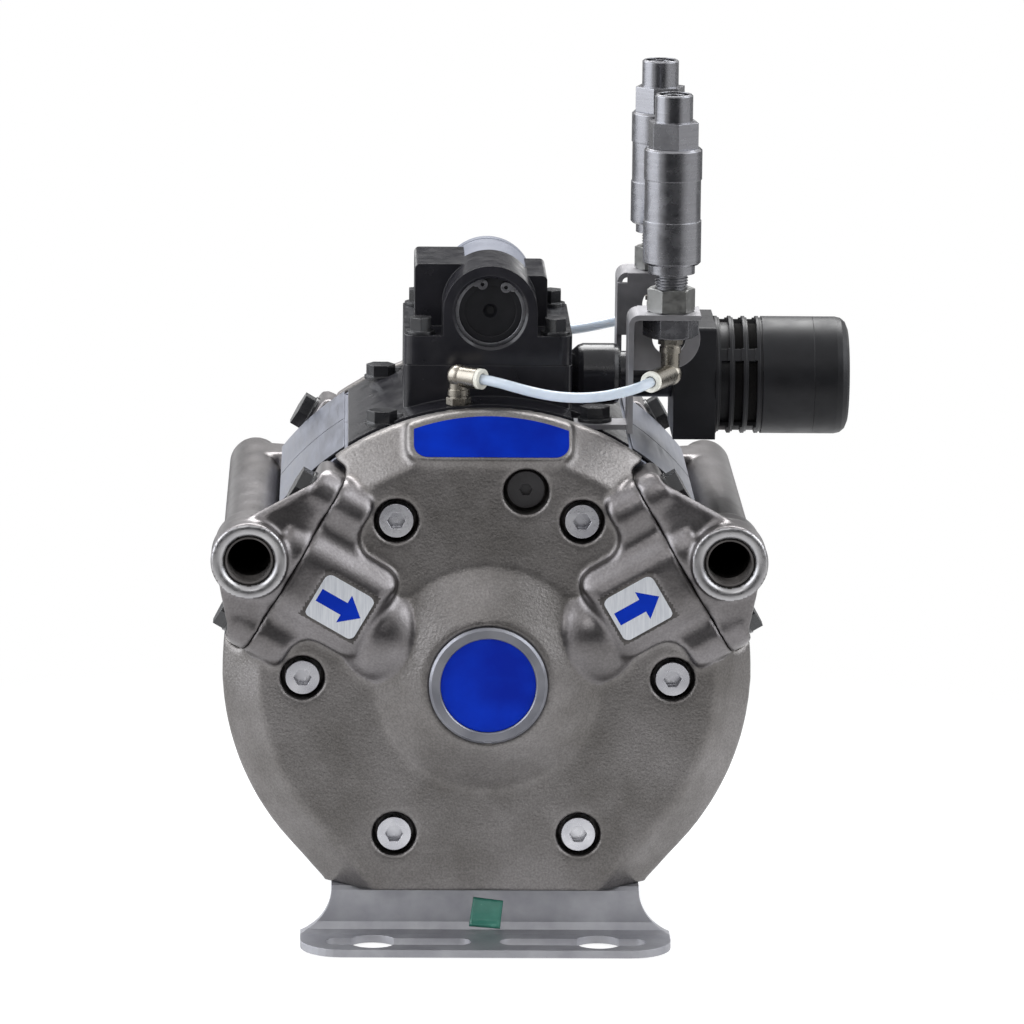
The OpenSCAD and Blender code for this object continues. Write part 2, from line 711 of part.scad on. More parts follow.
// Spout with rounded ends and the thinner pipe that runs on into the muffler adapter
module exhaust_spout() {
  end_x = saddle_half_w - 1.5;
  translate([0, 0, spout_z]) rotate([0, 90, 0]) rotate_extrude() polygon([
    [0, exhaust_x + 6], [spout_r - 3.5, exhaust_x + 6], [spout_r - 3.5, base_w / 2],
    [spout_r - 2.5, base_w / 2 + 1.5], [spout_r - 0.7, base_w / 2 + 3.5], [spout_r, base_w / 2 + 5.5],
    [spout_r, end_x - 2.4], [spout_r - 0.7, end_x - 0.7], [spout_r - 2.4, end_x], [pipe_r, end_x],
    [pipe_r, adapter_x + 8], [0, adapter_x + 8]]);
}

module air_manifold() color("#27282c") difference() {
  union() {
    intersection() {
      front_frame() rod_d(0, 0, body_r, 2 - housing_d, housing_d - 2);
      translate([-saddle_half_w, -housing_d, saddle_z]) cube([2 * saddle_half_w, 2 * housing_d, 40]);
    }
    translate([0, 0, saddle_z]) linear_extrude(seam_z - saddle_z)
      round_box(-base_w / 2, -base_l / 2, base_w / 2, base_l / 2, 3);
    difference() {
      exhaust_spout();
      translate([0, -spout_r - 1, seam_z]) cube([base_w / 2 + seat_gap, 2 * spout_r + 2, spout_r]);
    }
  }
  translate([exhaust_x - 2, 0, spout_z]) rotate([0, 90, 0]) cylinder(r = spout_bore_r, h = adapter_x);
  both_ends() {
    translate([0, 0, axis_z]) mirror([0, 1, 0]) bracket_pad();
    translate([-saddle_bolt_x, -saddle_bolt_y, spot_z]) cylinder(r = 8.5, h = 20);
    for (x = [-1, 1]) translate([x * saddle_bolt_x, -saddle_bolt_y, saddle_z - 1])
      cylinder(r = saddle_shank_r + seat_gap, h = 30);
    translate([manifold_elbow[0], -manifold_elbow[1], top_z - 0.7]) cylinder(r = elbow_hex_r + 1, h = 8);
    translate([manifold_elbow[0], -manifold_elbow[1], top_z - 8]) cylinder(r = 3 + thread_gap, h = 12);
    for (x = [-1, 1]) translate([x * valve_bolt_x, -valve_bolt_y, seam_z - 12])
      cylinder(r = small_shank_r + thread_gap, h = 13);
    translate([0, -inner_plate_d, saddle_z - 1]) cylinder(r = 4, h = seam_z - saddle_z + 2);
  }
  translate([exhaust_x, 0, spout_z]) cylinder(r = 4.5, h = seam_z - spout_z + 1);
}

// Air valve
// Local z runs towards the front along the spool, from the middle of the valve
module spool_frame() front_frame() translate([valve_x, valve_z - axis_z, 0]) children();

module valve_body() color("#1d1e21") difference() {
  union() {
    translate([0, 0, seam_z]) linear_extrude(valve_flange_h)
      round_box(-base_w / 2, -base_l / 2, base_w / 2, base_l / 2, 5);
    spool_frame() rod_d(0, 0, valve_barrel_r, base_l / 2 - valve_barrel_l, base_l / 2);
    translate([valve_x - valve_barrel_r, -base_l / 2, seam_z + 1])
      cube([2 * valve_barrel_r, valve_barrel_l, valve_axis_h - 1]);
    translate([0, block_y0 + valve_block_l, 0]) rotate([90, 0, 0]) linear_extrude(valve_block_l) {
      round_box(block_x0, seam_z + 1, -3.8, seam_z + left_block_h, 2);
      round_box(-12, seam_z + 1, block_x1, seam_z + right_block_h, 2);
    }
  }
  spool_frame() {
    rod_d(0, 0, valve_mouth_r, base_l / 2 - front_cap_l - 0.2, base_l / 2 + 1);
    rod_d(0, 0, valve_mouth_r + 0.9, base_l / 2 - 3.6, base_l / 2 - 2.2);
    translate([0, 0, base_l / 2 - 1])
      cylinder(r1 = valve_mouth_r - eps, r2 = valve_mouth_r + 1.2, h = 1 + eps);
    rod_d(0, 0, spool_bore_r, -sleeve_y - 1, base_l / 2 - 9);
    rod_d(0, 0, sleeve_r + fit, -base_l / 2 - 1, -sleeve_y + 0.3);
  }
  both_ends() for (x = [-1, 1]) translate([x * valve_bolt_x, -valve_bolt_y, seam_z - 1]) {
    cylinder(r = small_shank_r + seat_gap, h = valve_flange_h + 2);
    translate([0, 0, valve_flange_h + 1]) cylinder(r = 6.2, h = 12);
  }
  translate([block_x0 - 1, air_port_y, valve_z]) rotate([0, 90, 0]) {
    cylinder(r = air_port_r, h = air_port_l + 1);
    cylinder(r = 3.2, h = valve_x - block_x0);
  }
  valve_passages();
}

// Drillings from the air manifold up to the spool bore
module valve_passages() {
  for (y = [-inner_plate_d, inner_plate_d]) translate([valve_x, y, seam_z - 1])
    cylinder(r = 3.5, h = valve_axis_h);
  translate([exhaust_x, 0, seam_z - 1]) cylinder(r = 3.2, h = valve_axis_h);
}

module valve_front_cap() color("#141416") spool_frame() difference() {
  rod_d(0, 0, valve_mouth_r - fit, base_l / 2 - front_cap_l, base_l / 2 - 3.6);
  rod_d(0, 0, 10, base_l / 2 - 4.8, base_l / 2);
  translate([0, 0, base_l / 2 - 7]) cylinder(r1 = 1.5, r2 = 3, h = 2.5);
}

module valve_rear_cap() color("#c9cad2") difference() {
  spool_frame() difference() {
    rotate_extrude() polygon([
      [0, -base_l / 2], [sleeve_r - 4, -base_l / 2], [sleeve_r - 1.2, 1 - base_l / 2],
      [sleeve_r, 3.2 - base_l / 2], [sleeve_r, 9 - base_l / 2], [sleeve_r - 0.5, 9.3 - base_l / 2],
      [sleeve_r - 0.5, 10 - base_l / 2], [sleeve_r, 10.3 - base_l / 2], [sleeve_r, -sleeve_y],
      [0, -sleeve_y]]);
    rod_d(0, 0, spool_bore_r, sleeve_end_t - base_l / 2, 1 - sleeve_y);
  }
  valve_passages();
}

module snap_ring() color("#7d7f84") spool_frame() translate([0, 0, base_l / 2 - 3.4])
  rotate([0, 0, -7.6]) {
    linear_extrude(1) difference() {
      circle(r = valve_mouth_r + 0.8);
      circle(r = valve_mouth_r - 1.3);
      polygon([[0, 0], [-11, 24], [11, 24]]);
    }
    for (side = [-1, 1]) linear_extrude(1) difference() {
      union() {
        translate([side * 4.6, 10.2]) circle(r = 2);
        translate([side * 7.1, 10.6]) circle(r = 1.6);
      }
      translate([side * 4.6, 10.2]) circle(r = 0.8);
    }
  }

module valve_spool() color("#b5b6ba") spool_frame() {
  rear_d = sleeve_end_t + spool_rear_gap - base_l / 2;
  land = spool_l / 9;
  land_r = spool_bore_r - fit;
  rotate_extrude() polygon([
    [0, rear_d], [land_r - 0.6, rear_d], [land_r, rear_d + 0.6], [land_r, rear_d + land],
    [7, rear_d + land], [7, rear_d + 4 * land], [land_r, rear_d + 4 * land], [land_r, rear_d + 5 * land],
    [7, rear_d + 5 * land], [7, rear_d + 8 * land], [land_r, rear_d + 8 * land],
    [land_r, rear_d + spool_l - 0.6], [land_r - 0.6, rear_d + spool_l], [0, rear_d + spool_l]]);
}

// Bolts
// Flanged hexagon bolt, head up, seated at z = 0
module hex_bolt(head_r, head_h, washer_r, shank_r, length) {
  cylinder(r = washer_r, h = washer_t);
  translate([0, 0, washer_t - eps]) cylinder(r = head_r, h = head_h, $fn = 6);
  translate([0, 0, -length]) cylinder(r = shank_r, h = length + 0.5);
}

module valve_bolts() color("#232428") both_ends() for (x = [-1, 1])
  translate([x * valve_bolt_x, -valve_bolt_y, seam_z + valve_flange_h])
    rotate([0, 0, 30]) hex_bolt(m5_head_r, 5.2, 5.7, small_shank_r, valve_flange_h + 9);

module saddle_bolts() color("#232428") both_ends() {
  translate([-saddle_bolt_x, -saddle_bolt_y, spot_z])
    hex_bolt(m6_head_r, 4.6, 6.6, saddle_shank_r, spot_z - saddle_z + 10);
  translate([saddle_bolt_x, -saddle_bolt_y, spot_z + sheet_t])
    hex_bolt(m6_head_r, 4.6, 6.6, saddle_shank_r, spot_z + sheet_t - saddle_z + 10);
}

module manifold_bolts() color("#1f2023") both_ends() front_frame() both_checks() for (t = [-1, 1])
  translate([seam_n + flange_t, t * flange_bolt_gap / 2, check_d]) rotate([0, 90, 0])
    hex_bolt(m8_head_r, 4.6, 7.6, bolt_shank_r, flange_t + 15);

module cover_screw() {
  difference() {
    rod_d(0, 0, screw_head_d / 2, counterbore_floor_d, counterbore_floor_d + screw_head_h);
    translate([0, 0, counterbore_floor_d + screw_head_h - 4]) cylinder(r = 3.5, h = 5, $fn = 6);
  }
  rod_d(0, 0, screw_d / 2 - thread_gap, counterbore_floor_d - screw_len, counterbore_floor_d + 0.5);
}

module front_cover_screws() color("#bfc1c4") front_frame() screw_places() cover_screw();

module rear_cover_screws() color("#bfc1c4") rear_copy() front_frame() screw_places() cover_screw();

// Manifolds
module flange_block() {
  intersection() {
    along_n(seam_n, seam_n + flange_t) seam_profile(joint_d + 0.6);
    along_d(0, check_d + barrel_front + 1)
      round_box(seam_n - 10, flange_mid_t - flange_half_l, seam_n + flange_t,
                flange_mid_t + flange_half_l, 4);
  }
}

module flange_neck(r, front_d) hull() {
  rod_d(port_n, port_t, r, check_d - 12, front_d);
  for (side = [[barrel_half_w - 3, 14], [barrel_half_w - 12, 5]])
    translate([seam_n + 1, barrel_mid_t - side[0], joint_d + 4])
      cube([2, 2 * side[0], check_front + barrel_front - side[1]]);
}

// Web in front of the bolt heads, from the port boss out to both ends of the flange
module flange_wing() hull() {
  rod_d(port_n, port_t, port_boss_r - 1.2, wing_d, check_d + barrel_front - 4);
  for (t = [-1, 1]) translate([seam_n + 1, flange_mid_t + t * (flange_half_l - 5) - 1, wing_d])
    cube([flange_t - 2, 2, check_d + flange_front - wing_d - 1.5]);
}

module manifold() {
  difference() {
    union() {
      both_ends() front_frame() check_frame(1) {
        flange_block();
        flange_neck(tube_r - 0.3, check_d + barrel_front - 6, $fn = 32);
      }
      front_frame() check_frame(1) {
        flange_neck(port_boss_r - 1, check_d + barrel_front - 3, $fn = 32);
        flange_wing($fn = 32);
        rod_d(port_n, port_t, tube_r, -port_face_d + 3, port_face_d - 6);
        translate([port_n, port_t, -port_face_d]) cylinder(r1 = tube_r - 3, r2 = tube_r, h = 3);
        rod_d(port_n, port_t, port_boss_r, check_d + 4, port_face_d);
      }
    }
    front_frame() check_frame(1) {
      rod_d(port_n, port_t, tube_bore_r, -check_d - 8, port_face_d - 1);
      rod_d(port_n, port_t, port_thread_r, port_face_d - port_thread_l, port_face_d + 1);
      translate([port_n, port_t, port_face_d - 2])
        cylinder(r1 = port_thread_r, r2 = port_thread_r + 2, h = 2 + eps);
      for (d = [-check_d, check_d]) {
        rod_n(check_t, d, seat_bore_r + 1, seam_n - 1, port_n);
        for (t = [-1, 1]) {
          rod_n(t * flange_bolt_gap / 2, d, bolt_shank_r + seat_gap, seam_n - 1, seam_n + flange_t + 1);
          rod_n(t * flange_bolt_gap / 2, d, m8_head_r + 0.5, seam_n + flange_t, seam_n + flange_t + 12);
        }
      }
    }
  }
}

module outlet_manifold() color("#9b9995") manifold();

module inlet_manifold() color("#9b9995") mirror([1, 0, 0]) manifold();

// Check valves. On the inlet side fluid runs inwards, on the outlet side outwards.
// Local z runs along the flow from the seat, starting at the end of the cartridge.
module flow_frame(side, end_y) mirror([0, end_y > 0 ? 1 : 0, 0]) front_frame() check_frame(side)
  translate([side < 0 ? seam_n : seam_n - cage_l, check_t, check_d]) rotate([0, side < 0 ? -90 : 90, 0])
    children();

module all_checks() for (side = [-1, 1], end_y = [-1, 1]) flow_frame(side, end_y) children();

ball_z = seat_t + sqrt(ball_r * ball_r - seat_bore_r * seat_bore_r) + seat_gap;
cage_wall = cage_r - ball_r - 1.2;

module check_seats() color("#c4c5c8") all_checks() difference() {
  cylinder(r = cage_r - fit, h = seat_t);
  translate([0, 0, -1]) cylinder(r = seat_bore_r, h = seat_t + 2);
}

module check_cages() color("#d9d8d2") all_checks() difference() {
  translate([0, 0, seat_t]) cylinder(r = cage_r - fit, h = cage_l - seat_t);
  translate([0, 0, seat_t - 1]) cylinder(r = cage_r - cage_wall, h = cage_l - seat_t - 3);
  translate([0, 0, cage_l - 5]) cylinder(r = 3.2, h = 6);
  for (k = [0:2]) rotate([0, 0, 120 * k]) translate([0, -2, seat_t + 4])
    cube([cage_r + 1, 4, cage_l - seat_t - 10]);
}

module check_ball(side, end_y) flow_frame(side, end_y) translate([0, 0, ball_z]) sphere(r = ball_r);

module front_inlet_ball() color("#d2d3d6") check_ball(-1, -1);

module rear_inlet_ball() color("#d2d3d6") check_ball(-1, 1);

module front_outlet_ball() color("#d2d3d6") check_ball(1, -1);

module rear_outlet_ball() color("#d2d3d6") check_ball(1, 1);

module check_spring(side, end_y) {
  low = ball_z + sqrt(ball_r * ball_r - pow(spring_r - spring_wire_r, 2)) + spring_wire_r + seat_gap;
  high = cage_l - 4 - spring_wire_r - 0.1;
  steps = 12;
  count = spring_turns * steps;
  coil = [for (i = [0:count]) [spring_r * cos(360 * i / steps), spring_r * sin(360 * i / steps),
    low + (high - low) * i / count]];
  flow_frame(side, end_y) sweep(coil, spring_wire_r, 6);
}

module front_inlet_spring() color("#a8a9ac") check_spring(-1, -1);

module rear_inlet_spring() color("#a8a9ac") check_spring(-1, 1);

module front_outlet_spring() color("#a8a9ac") check_spring(1, -1);

module rear_outlet_spring() color("#a8a9ac") check_spring(1, 1);

// Muffler
module muffler_frame() translate([0, 0, spout_z]) rotate([0, 90, 0]) children();

module muffler_adapter() color("#1a1b1e") muffler_frame() difference() {
  union() {
    translate([0, 0, adapter_x]) linear_extrude(adapter_t)
      round_box(-adapter_w / 2, -adapter_w / 2, adapter_w / 2, adapter_w / 2, 1.6);
    translate([0, 0, adapter_x + adapter_t - 1]) cylinder(r = muffler_r - muffler_wall - fit, h = 7);
  }
  translate([0, 0, adapter_x - 1]) cylinder(r = pipe_r + fit, h = 9.5);
  translate([0, 0, adapter_x - 1]) cylinder(r = spout_bore_r, h = adapter_t + 9);
}

module slot_sector(x, a0, a1) translate([0, 0, x]) rotate([0, 0, a0])
  rotate_extrude(angle = a1 - a0) translate([muffler_r - muffler_wall - 1, 0])
    square([muffler_wall + 3, slot_w]);

module muffler_body() color("#232428") muffler_frame() {
  start = adapter_x + adapter_t;
  difference() {
    union() {
      translate([0, 0, start]) cylinder(r = muffler_r - 0.6, h = muffler_l);
      translate([0, 0, start + 18.5]) cylinder(r = muffler_r, h = muffler_l - 18.5);
      for (k = [0:2]) translate([0, 0, start + 1.2 + k * slot_pitch + slot_w])
        cylinder(r = muffler_r, h = slot_pitch - slot_w);
      translate([0, 0, start]) cylinder(r = muffler_r, h = 1.2);
    }
    translate([0, 0, start - 1]) cylinder(r = muffler_r - muffler_wall, h = muffler_l + 2);
    for (k = [0:2], s = [0:3]) slot_sector(start + 2 + k * slot_pitch, 90 * s + 66.5, 90 * s + 143.5);
  }
}

module muffler_cap() color("#1c1d20") muffler_frame() {
  start = adapter_x + adapter_t + muffler_l;
  rotate_extrude() polygon([
    [0, start], [muffler_r, start], [muffler_r, start + muffler_cap_l - 5],
    [muffler_r - 0.5, start + muffler_cap_l - 2.8], [muffler_r - 2, start + muffler_cap_l - 1],
    [muffler_r - 4.5, start + muffler_cap_l], [0, start + muffler_cap_l]]);
  translate([0, 0, start - 5]) cylinder(r = muffler_r - muffler_wall - fit, h = 6);
}

module muffler_felt() color("#3a3936") muffler_frame() difference() {
  translate([0, 0, adapter_x + adapter_t + 6])
    cylinder(r = muffler_r - muffler_wall - 0.5, h = muffler_l - 11);
  translate([0, 0, adapter_x + adapter_t + 5]) cylinder(r = spout_bore_r, h = muffler_l - 16);
}

// Brackets
// One bent sheet: a wall beside the saddle, a shelf on top and a plate turned in behind
module bracket(top_z) color("#a3a5a8") difference() {
  plate_x = saddle_half_w - 1;
  end_x = signal_x + 11.2;
  back_y = signal_y - 12.5;
  bend_r = 4;
  union() {
    translate([0, 11 - signal_y, 0]) rotate([90, 0, 0]) linear_extrude(21) intersection() {
      difference() {
        round_box(plate_x, spot_z - 20, end_x + 20, top_z, bend_r);
        round_box(plate_x + sheet_t, spot_z - 30, end_x + 30, top_z - sheet_t, bend_r - sheet_t);
      }
      translate([plate_x, spot_z]) square([end_x - plate_x, top_z - spot_z]);
    }
    translate([0, -back_y, 0]) rotate([90, 0, 0]) linear_extrude(sheet_t) {
      translate([plate_x, top_z - 25]) square([signal_x - plate_x, 25 - bend_r]);
      translate([plate_x + bend_r, top_z - 25]) square([signal_x - plate_x - bend_r, 25]);
      intersection() {
        translate([signal_x, top_z - 12.5]) circle(r = 12);
        translate([plate_x, top_z - 40]) square([60, 40]);
      }
    }
    translate([saddle_bolt_x - 8, -saddle_bolt_y - 8, spot_z])
      cube([plate_x - saddle_bolt_x + 8 + sheet_t, 13, sheet_t]);
  }
  translate([signal_x, -signal_y, top_z - sheet_t - 1])
    cylinder(r = signal_thread_r + 0.25, h = sheet_t + 2);
  translate([signal_x, 1 - back_y, top_z - 12.5]) rotate([90, 0, 0]) cylinder(r = 6.5, h = sheet_t + 2);
  translate([saddle_bolt_x, -saddle_bolt_y, spot_z - 1])
    cylinder(r = saddle_shank_r + seat_gap, h = sheet_t + 2);
}

module front_bracket() bracket(bracket_z);

module rear_bracket() rear_copy() bracket(bracket_z - rear_drop);

// Signal cylinders
module signal_frame() translate([signal_x, -signal_y, bracket_z]) children();

module rear_signal_frame() rear_copy() translate([0, 0, -rear_drop]) signal_frame() children();

module signal_frames() {
  signal_frame() children();
  rear_signal_frame() children();
}

// Hexagon with its corners turned off at one end or at both
module turned_hex(r, h, low_chamfer, high_chamfer) intersection() {
  rotate([0, 0, hex_turn]) cylinder(r = r, h = h, $fn = 6);
  rotate_extrude() polygon([
    [0, 0], [r - 0.3 - 2 * low_chamfer, 0], [r + 0.2, low_chamfer + 0.1], [r + 0.2, h - high_chamfer - 0.1],
    [r - 0.3 - 2 * high_chamfer, h], [0, h]]);
}

body_z = locknut_t + 5.8 + neck_t;

module signal_cylinders() color("#c3c5c9") signal_frames() difference() {
  union() {
    translate([0, 0, -sheet_t - lower_hex_t]) turned_hex(lower_hex_r, lower_hex_t, 1, 0);
    translate([0, 0, -sheet_t - 1]) cylinder(r = signal_thread_r, h = body_z + sheet_t + 2);
    translate([0, 0, body_z - neck_t]) cylinder(r = signal_r - 2.2, h = neck_t);
    translate([0, 0, body_z]) cylinder(r1 = signal_r - 0.8, r2 = signal_r, h = 0.8);
    translate([0, 0, body_z + 0.8]) cylinder(r = signal_r, h = 16);
    translate([0, 0, body_z + 16]) cylinder(r = signal_r - 0.35, h = signal_l - 28);
    translate([0, 0, body_z + signal_l - 12]) cylinder(r = signal_r, h = 11.2);
    translate([0, 0, body_z + signal_l - 0.8]) cylinder(r1 = signal_r, r2 = signal_r - 0.8, h = 0.8);
  }
  translate([0, 0, -sheet_t - lower_hex_t - 1]) cylinder(r = 3 + thread_gap, h = 8);
  for (side = [-1, 1]) translate([side * (signal_r + 3.4) - 5, -15, body_z - neck_t - 1])
    cube([10, 30, neck_t + 1]);
}

module signal_nozzle(turn) {
  base = body_z + signal_l;
  difference() {
    union() {
      rotate([0, 0, turn]) translate([0, 0, base]) cylinder(r = nozzle_hex_r, h = nozzle_hex_t, $fn = 6);
      translate([0, 0, base + nozzle_hex_t - 1]) cylinder(r = nozzle_r, h = nozzle_l + 0.4);
      translate([0, 0, base + nozzle_hex_t + nozzle_l - 0.6])
        cylinder(r1 = nozzle_r, r2 = nozzle_r - 0.6, h = 0.6);
    }
    translate([0, 0, base + nozzle_hex_t + nozzle_l - 6]) cylinder(r = nozzle_bore_r, h = 7);
    translate([0, 0, base + 3]) cylinder(r = 2.9, h = nozzle_hex_t + nozzle_l);
  }
  difference() {
    translate([0, 0, base + nozzle_hex_t + nozzle_l - 6.5]) cylinder(r = 4, h = 6);
    translate([0, 0, base + nozzle_hex_t + nozzle_l - 7]) cylinder(r = 2.9, h = 8);
  }
}

module signal_nozzles() color("#b0b1b3") {
  signal_frame() signal_nozzle(38);
  rear_signal_frame() signal_nozzle(47);
}

module locknuts() color("#b7b8b4") signal_frames() difference() {
  turned_hex(locknut_r, locknut_t, 0.5, 0.5);
  translate([0, 0, -1]) cylinder(r = signal_thread_r + thread_gap, h = locknut_t + 2);
}

// Push-in elbows and their release collars, seated at z = 0 with the stem down
module elbow(turn, h, arm) {
  translate([0, 0, -6]) cylinder(r = 3, h = 7);
  cylinder(r = elbow_hex_r, h = 2.8, $fn = 6);
  translate([0, 0, 3.6]) cylinder(r = elbow_leg_r + 0.6, h = 2.4);
  difference() {
    union() {
      cylinder(r = elbow_leg_r, h = h + 1);
      translate([0, 0, h]) sphere(r = elbow_arm_r + 0.4, $fn = 48);
      rotate([0, 0, turn]) translate([0, 0, h]) rotate([0, 90, 0]) cylinder(r = elbow_arm_r, h = arm);
    }
    rotate([0, 0, turn]) translate([arm - 7, 0, h]) rotate([0, 90, 0]) cylinder(r = hose_r + 0.25, h = 8);
  }
}

module release_collar(turn, h, arm) rotate([0, 0, turn]) translate([arm, 0, h]) rotate([0, 90, 0])
  difference() {
    cylinder(r = collar_r, h = collar_t);
    translate([0, 0, -1]) cylinder(r = hose_r + 0.25, h = collar_t + 2);
  }

module manifold_elbow_frame() translate([manifold_elbow[0], -manifold_elbow[1], top_z - 0.7]) children();

module signal_elbow_frames() signal_frames() translate([0, 0, -sheet_t - lower_hex_t])
  mirror([0, 0, 1]) children();

module elbows() color("#b9b3a6") {
  both_ends() manifold_elbow_frame() elbow(-manifold_elbow_turn, manifold_elbow_h, manifold_elbow_arm);
  signal_elbow_frames() elbow(180 + signal_elbow_turn, signal_elbow_h, signal_elbow_arm);
}

module release_collars() color("#e6e2cf") {
  both_ends() manifold_elbow_frame()
    release_collar(-manifold_elbow_turn, manifold_elbow_h, manifold_elbow_arm);
  signal_elbow_frames() release_collar(180 + signal_elbow_turn, signal_elbow_h, signal_elbow_arm);
}

module front_tube() color("#dfe5ea") sweep(route(0), hose_r, 8);

module rear_tube() color("#dfe5ea") rear_copy() sweep(route(rear_drop), hose_r, 8);

// Feet
module foot_profile() {
  tab_y = joint_d - 6;
  square_y = foot_web_y - foot_t;
  polygon([
    [tab_y, foot_top_z - foot_t], [foot_web_y - foot_t - 2, foot_top_z - foot_t],
    [foot_web_y - foot_t, foot_top_z - foot_t - 2], [square_y, 2 + foot_t], [foot_web_y - 0.9, 0.9],
    [foot_web_y + 2, 0], [foot_edge_y, 0], [foot_edge_y, foot_t], [foot_web_y + 4, foot_t],
    [foot_web_y + 1.2, foot_t + 1.2], [foot_web_y, foot_t + 4], [foot_web_y, foot_top_z - 1.5],
    [foot_web_y - 1.5, foot_top_z], [tab_y, foot_top_z]]);
}

module foot_front_outline() difference() {
  translate([-foot_half_w, -1]) square([2 * foot_half_w, foot_top_z + 2]);
  for (x = [-1, 1]) {
    translate([x * (foot_half_w + 6), foot_top_z - 1]) circle(r = foot_half_w + 6 - foot_top_half_w);
    translate([x * (foot_top_half_w + 20) - 20, foot_top_z - 1]) square([40, 10]);
  }
}

module foot_plan() difference() {
  round_box(-foot_half_w, foot_web_y - 40, foot_half_w, foot_edge_y, 16);
  for (x = [-1, 1]) translate([x * foot_hole_x, foot_hole_y]) {
    circle(r = foot_hole_r);
    for (end = [-slot_in, slot_out]) translate([x * end, 0]) circle(r = foot_slot_w / 2);
    translate([x > 0 ? -slot_in : -slot_out, -foot_slot_w / 2]) square([slot_in + slot_out, foot_slot_w]);
  }
}

module foot() mirror([0, 1, 0]) difference() {
  intersection() {
    rotate([90, 0, 90]) translate([0, 0, -foot_half_w - 1])
      linear_extrude(2 * foot_half_w + 2) foot_profile();
    translate([0, foot_edge_y + 1, 0]) rotate([90, 0, 0]) linear_extrude(60) foot_front_outline();
    translate([0, 0, -1]) linear_extrude(foot_top_z + 2) foot_plan();
  }
  for (x = [-1, 1]) translate([x * foot_screw_x, foot_screw_d, foot_top_z - foot_t - 1])
    cylinder(r = saddle_shank_r + seat_gap, h = foot_t + 2);
}

module front_foot() color("#8e8d8a") foot();

module rear_foot() color("#8e8d8a") rear_copy() foot();

module foot_screws() color("#a9aaad") both_ends() for (x = [-1, 1])
  translate([x * foot_screw_x, -foot_screw_d, foot_top_z - foot_t]) mirror([0, 0, 1])
    hex_bolt(m6_head_r, 4, m6_head_r, saddle_shank_r, foot_t + 11);

// Trim
module hub_ring() color("#a9adb5") front_frame() difference() {
  rotate_extrude() polygon([
    [hub_disc_r + 0.1, hub_d - 2], [hub_ring_r, hub_d - 2], [hub_ring_r, hub_d + 0.8],
    [hub_ring_r - 1, hub_d + 1.8], [hub_disc_r + 0.6, hub_d + 1.8], [hub_disc_r + 0.1, hub_d + 1.3]]);
  translate([0, -hub_ring_r, hub_d]) cylinder(r = 1.6, h = 4);
}

module label_plates() color("#1238a8") front_frame() {
  rod_d(0, 0, hub_disc_r, hub_d - 2, hub_d + 0.6);
  label_slab(label_left_lip - label_half_w + 0.15, label_half_w - label_lip - 0.15,
             label_low - label_lip - 0.15, -label_recess, -0.2, body_r - 1.85, 5.4);
}

module arrow_plates() color("#b9bcc4") front_frame() both_checks()
  along_d(check_d + barrel_front - arrow_recess, check_d + barrel_front - arrow_recess + arrow_t)
    round_box(arrow_n - arrow_half_n + 0.1, check_t - arrow_half_t + 0.1,
              arrow_n + arrow_half_n - 0.1, check_t + arrow_half_t - 0.1, 2.4);

module vent_plug() color("#2e2d2e") front_frame() translate([vent_x, vent_y, 0]) difference() {
  rod_d(0, 0, vent_r - 1.6, face_d - vent_depth, face_d - vent_depth + 2.5);
  translate([0, 0, face_d - vent_depth + 1]) cylinder(r = 2.5, h = 3, $fn = 6);
}

front_fluid_cover();
rear_fluid_cover();
front_air_housing();
rear_air_housing();
intermediate_plates();
clamp_rings();
front_air_diaphragm();
rear_air_diaphragm();
front_fluid_diaphragm();
rear_fluid_diaphragm();
shaft();
air_plates();
fluid_plates();
shaft_bush();
shaft_seals();
front_pilot_pin();
rear_pilot_pin();
air_manifold();
valve_body();
valve_front_cap();
valve_rear_cap();
snap_ring();
valve_spool();
valve_bolts();
saddle_bolts();
inlet_manifold();
outlet_manifold();
manifold_bolts();
front_cover_screws();
rear_cover_screws();
check_seats();
check_cages();
front_inlet_ball();
rear_inlet_ball();
front_outlet_ball();
rear_outlet_ball();
front_inlet_spring();
rear_inlet_spring();
front_outlet_spring();
rear_outlet_spring();
muffler_adapter();
muffler_body();
muffler_cap();
muffler_felt();
front_bracket();
rear_bracket();
signal_cylinders();
signal_nozzles();
locknuts();
elbows();
release_collars();
front_tube();
rear_tube();
front_foot();
rear_foot();
foot_screws();
hub_ring();
label_plates();
arrow_plates();
vent_plug();
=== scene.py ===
import json
import math

import bmesh
import bpy
import numpy as np
from mathutils import Matrix, Vector


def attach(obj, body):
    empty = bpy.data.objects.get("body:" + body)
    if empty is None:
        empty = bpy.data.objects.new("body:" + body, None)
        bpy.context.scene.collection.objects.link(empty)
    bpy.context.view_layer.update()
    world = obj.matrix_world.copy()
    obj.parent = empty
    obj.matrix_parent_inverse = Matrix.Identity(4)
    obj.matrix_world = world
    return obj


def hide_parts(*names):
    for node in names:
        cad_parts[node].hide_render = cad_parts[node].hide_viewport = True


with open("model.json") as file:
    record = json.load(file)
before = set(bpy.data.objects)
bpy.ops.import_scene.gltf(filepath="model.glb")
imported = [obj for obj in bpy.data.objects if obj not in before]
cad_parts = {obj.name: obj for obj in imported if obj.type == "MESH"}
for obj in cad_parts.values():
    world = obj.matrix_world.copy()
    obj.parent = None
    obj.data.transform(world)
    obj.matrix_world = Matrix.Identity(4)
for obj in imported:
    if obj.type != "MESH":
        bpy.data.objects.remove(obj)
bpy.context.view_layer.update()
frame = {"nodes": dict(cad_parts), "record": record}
nodes = frame["nodes"]
scene = bpy.context.scene
MM = 0.001


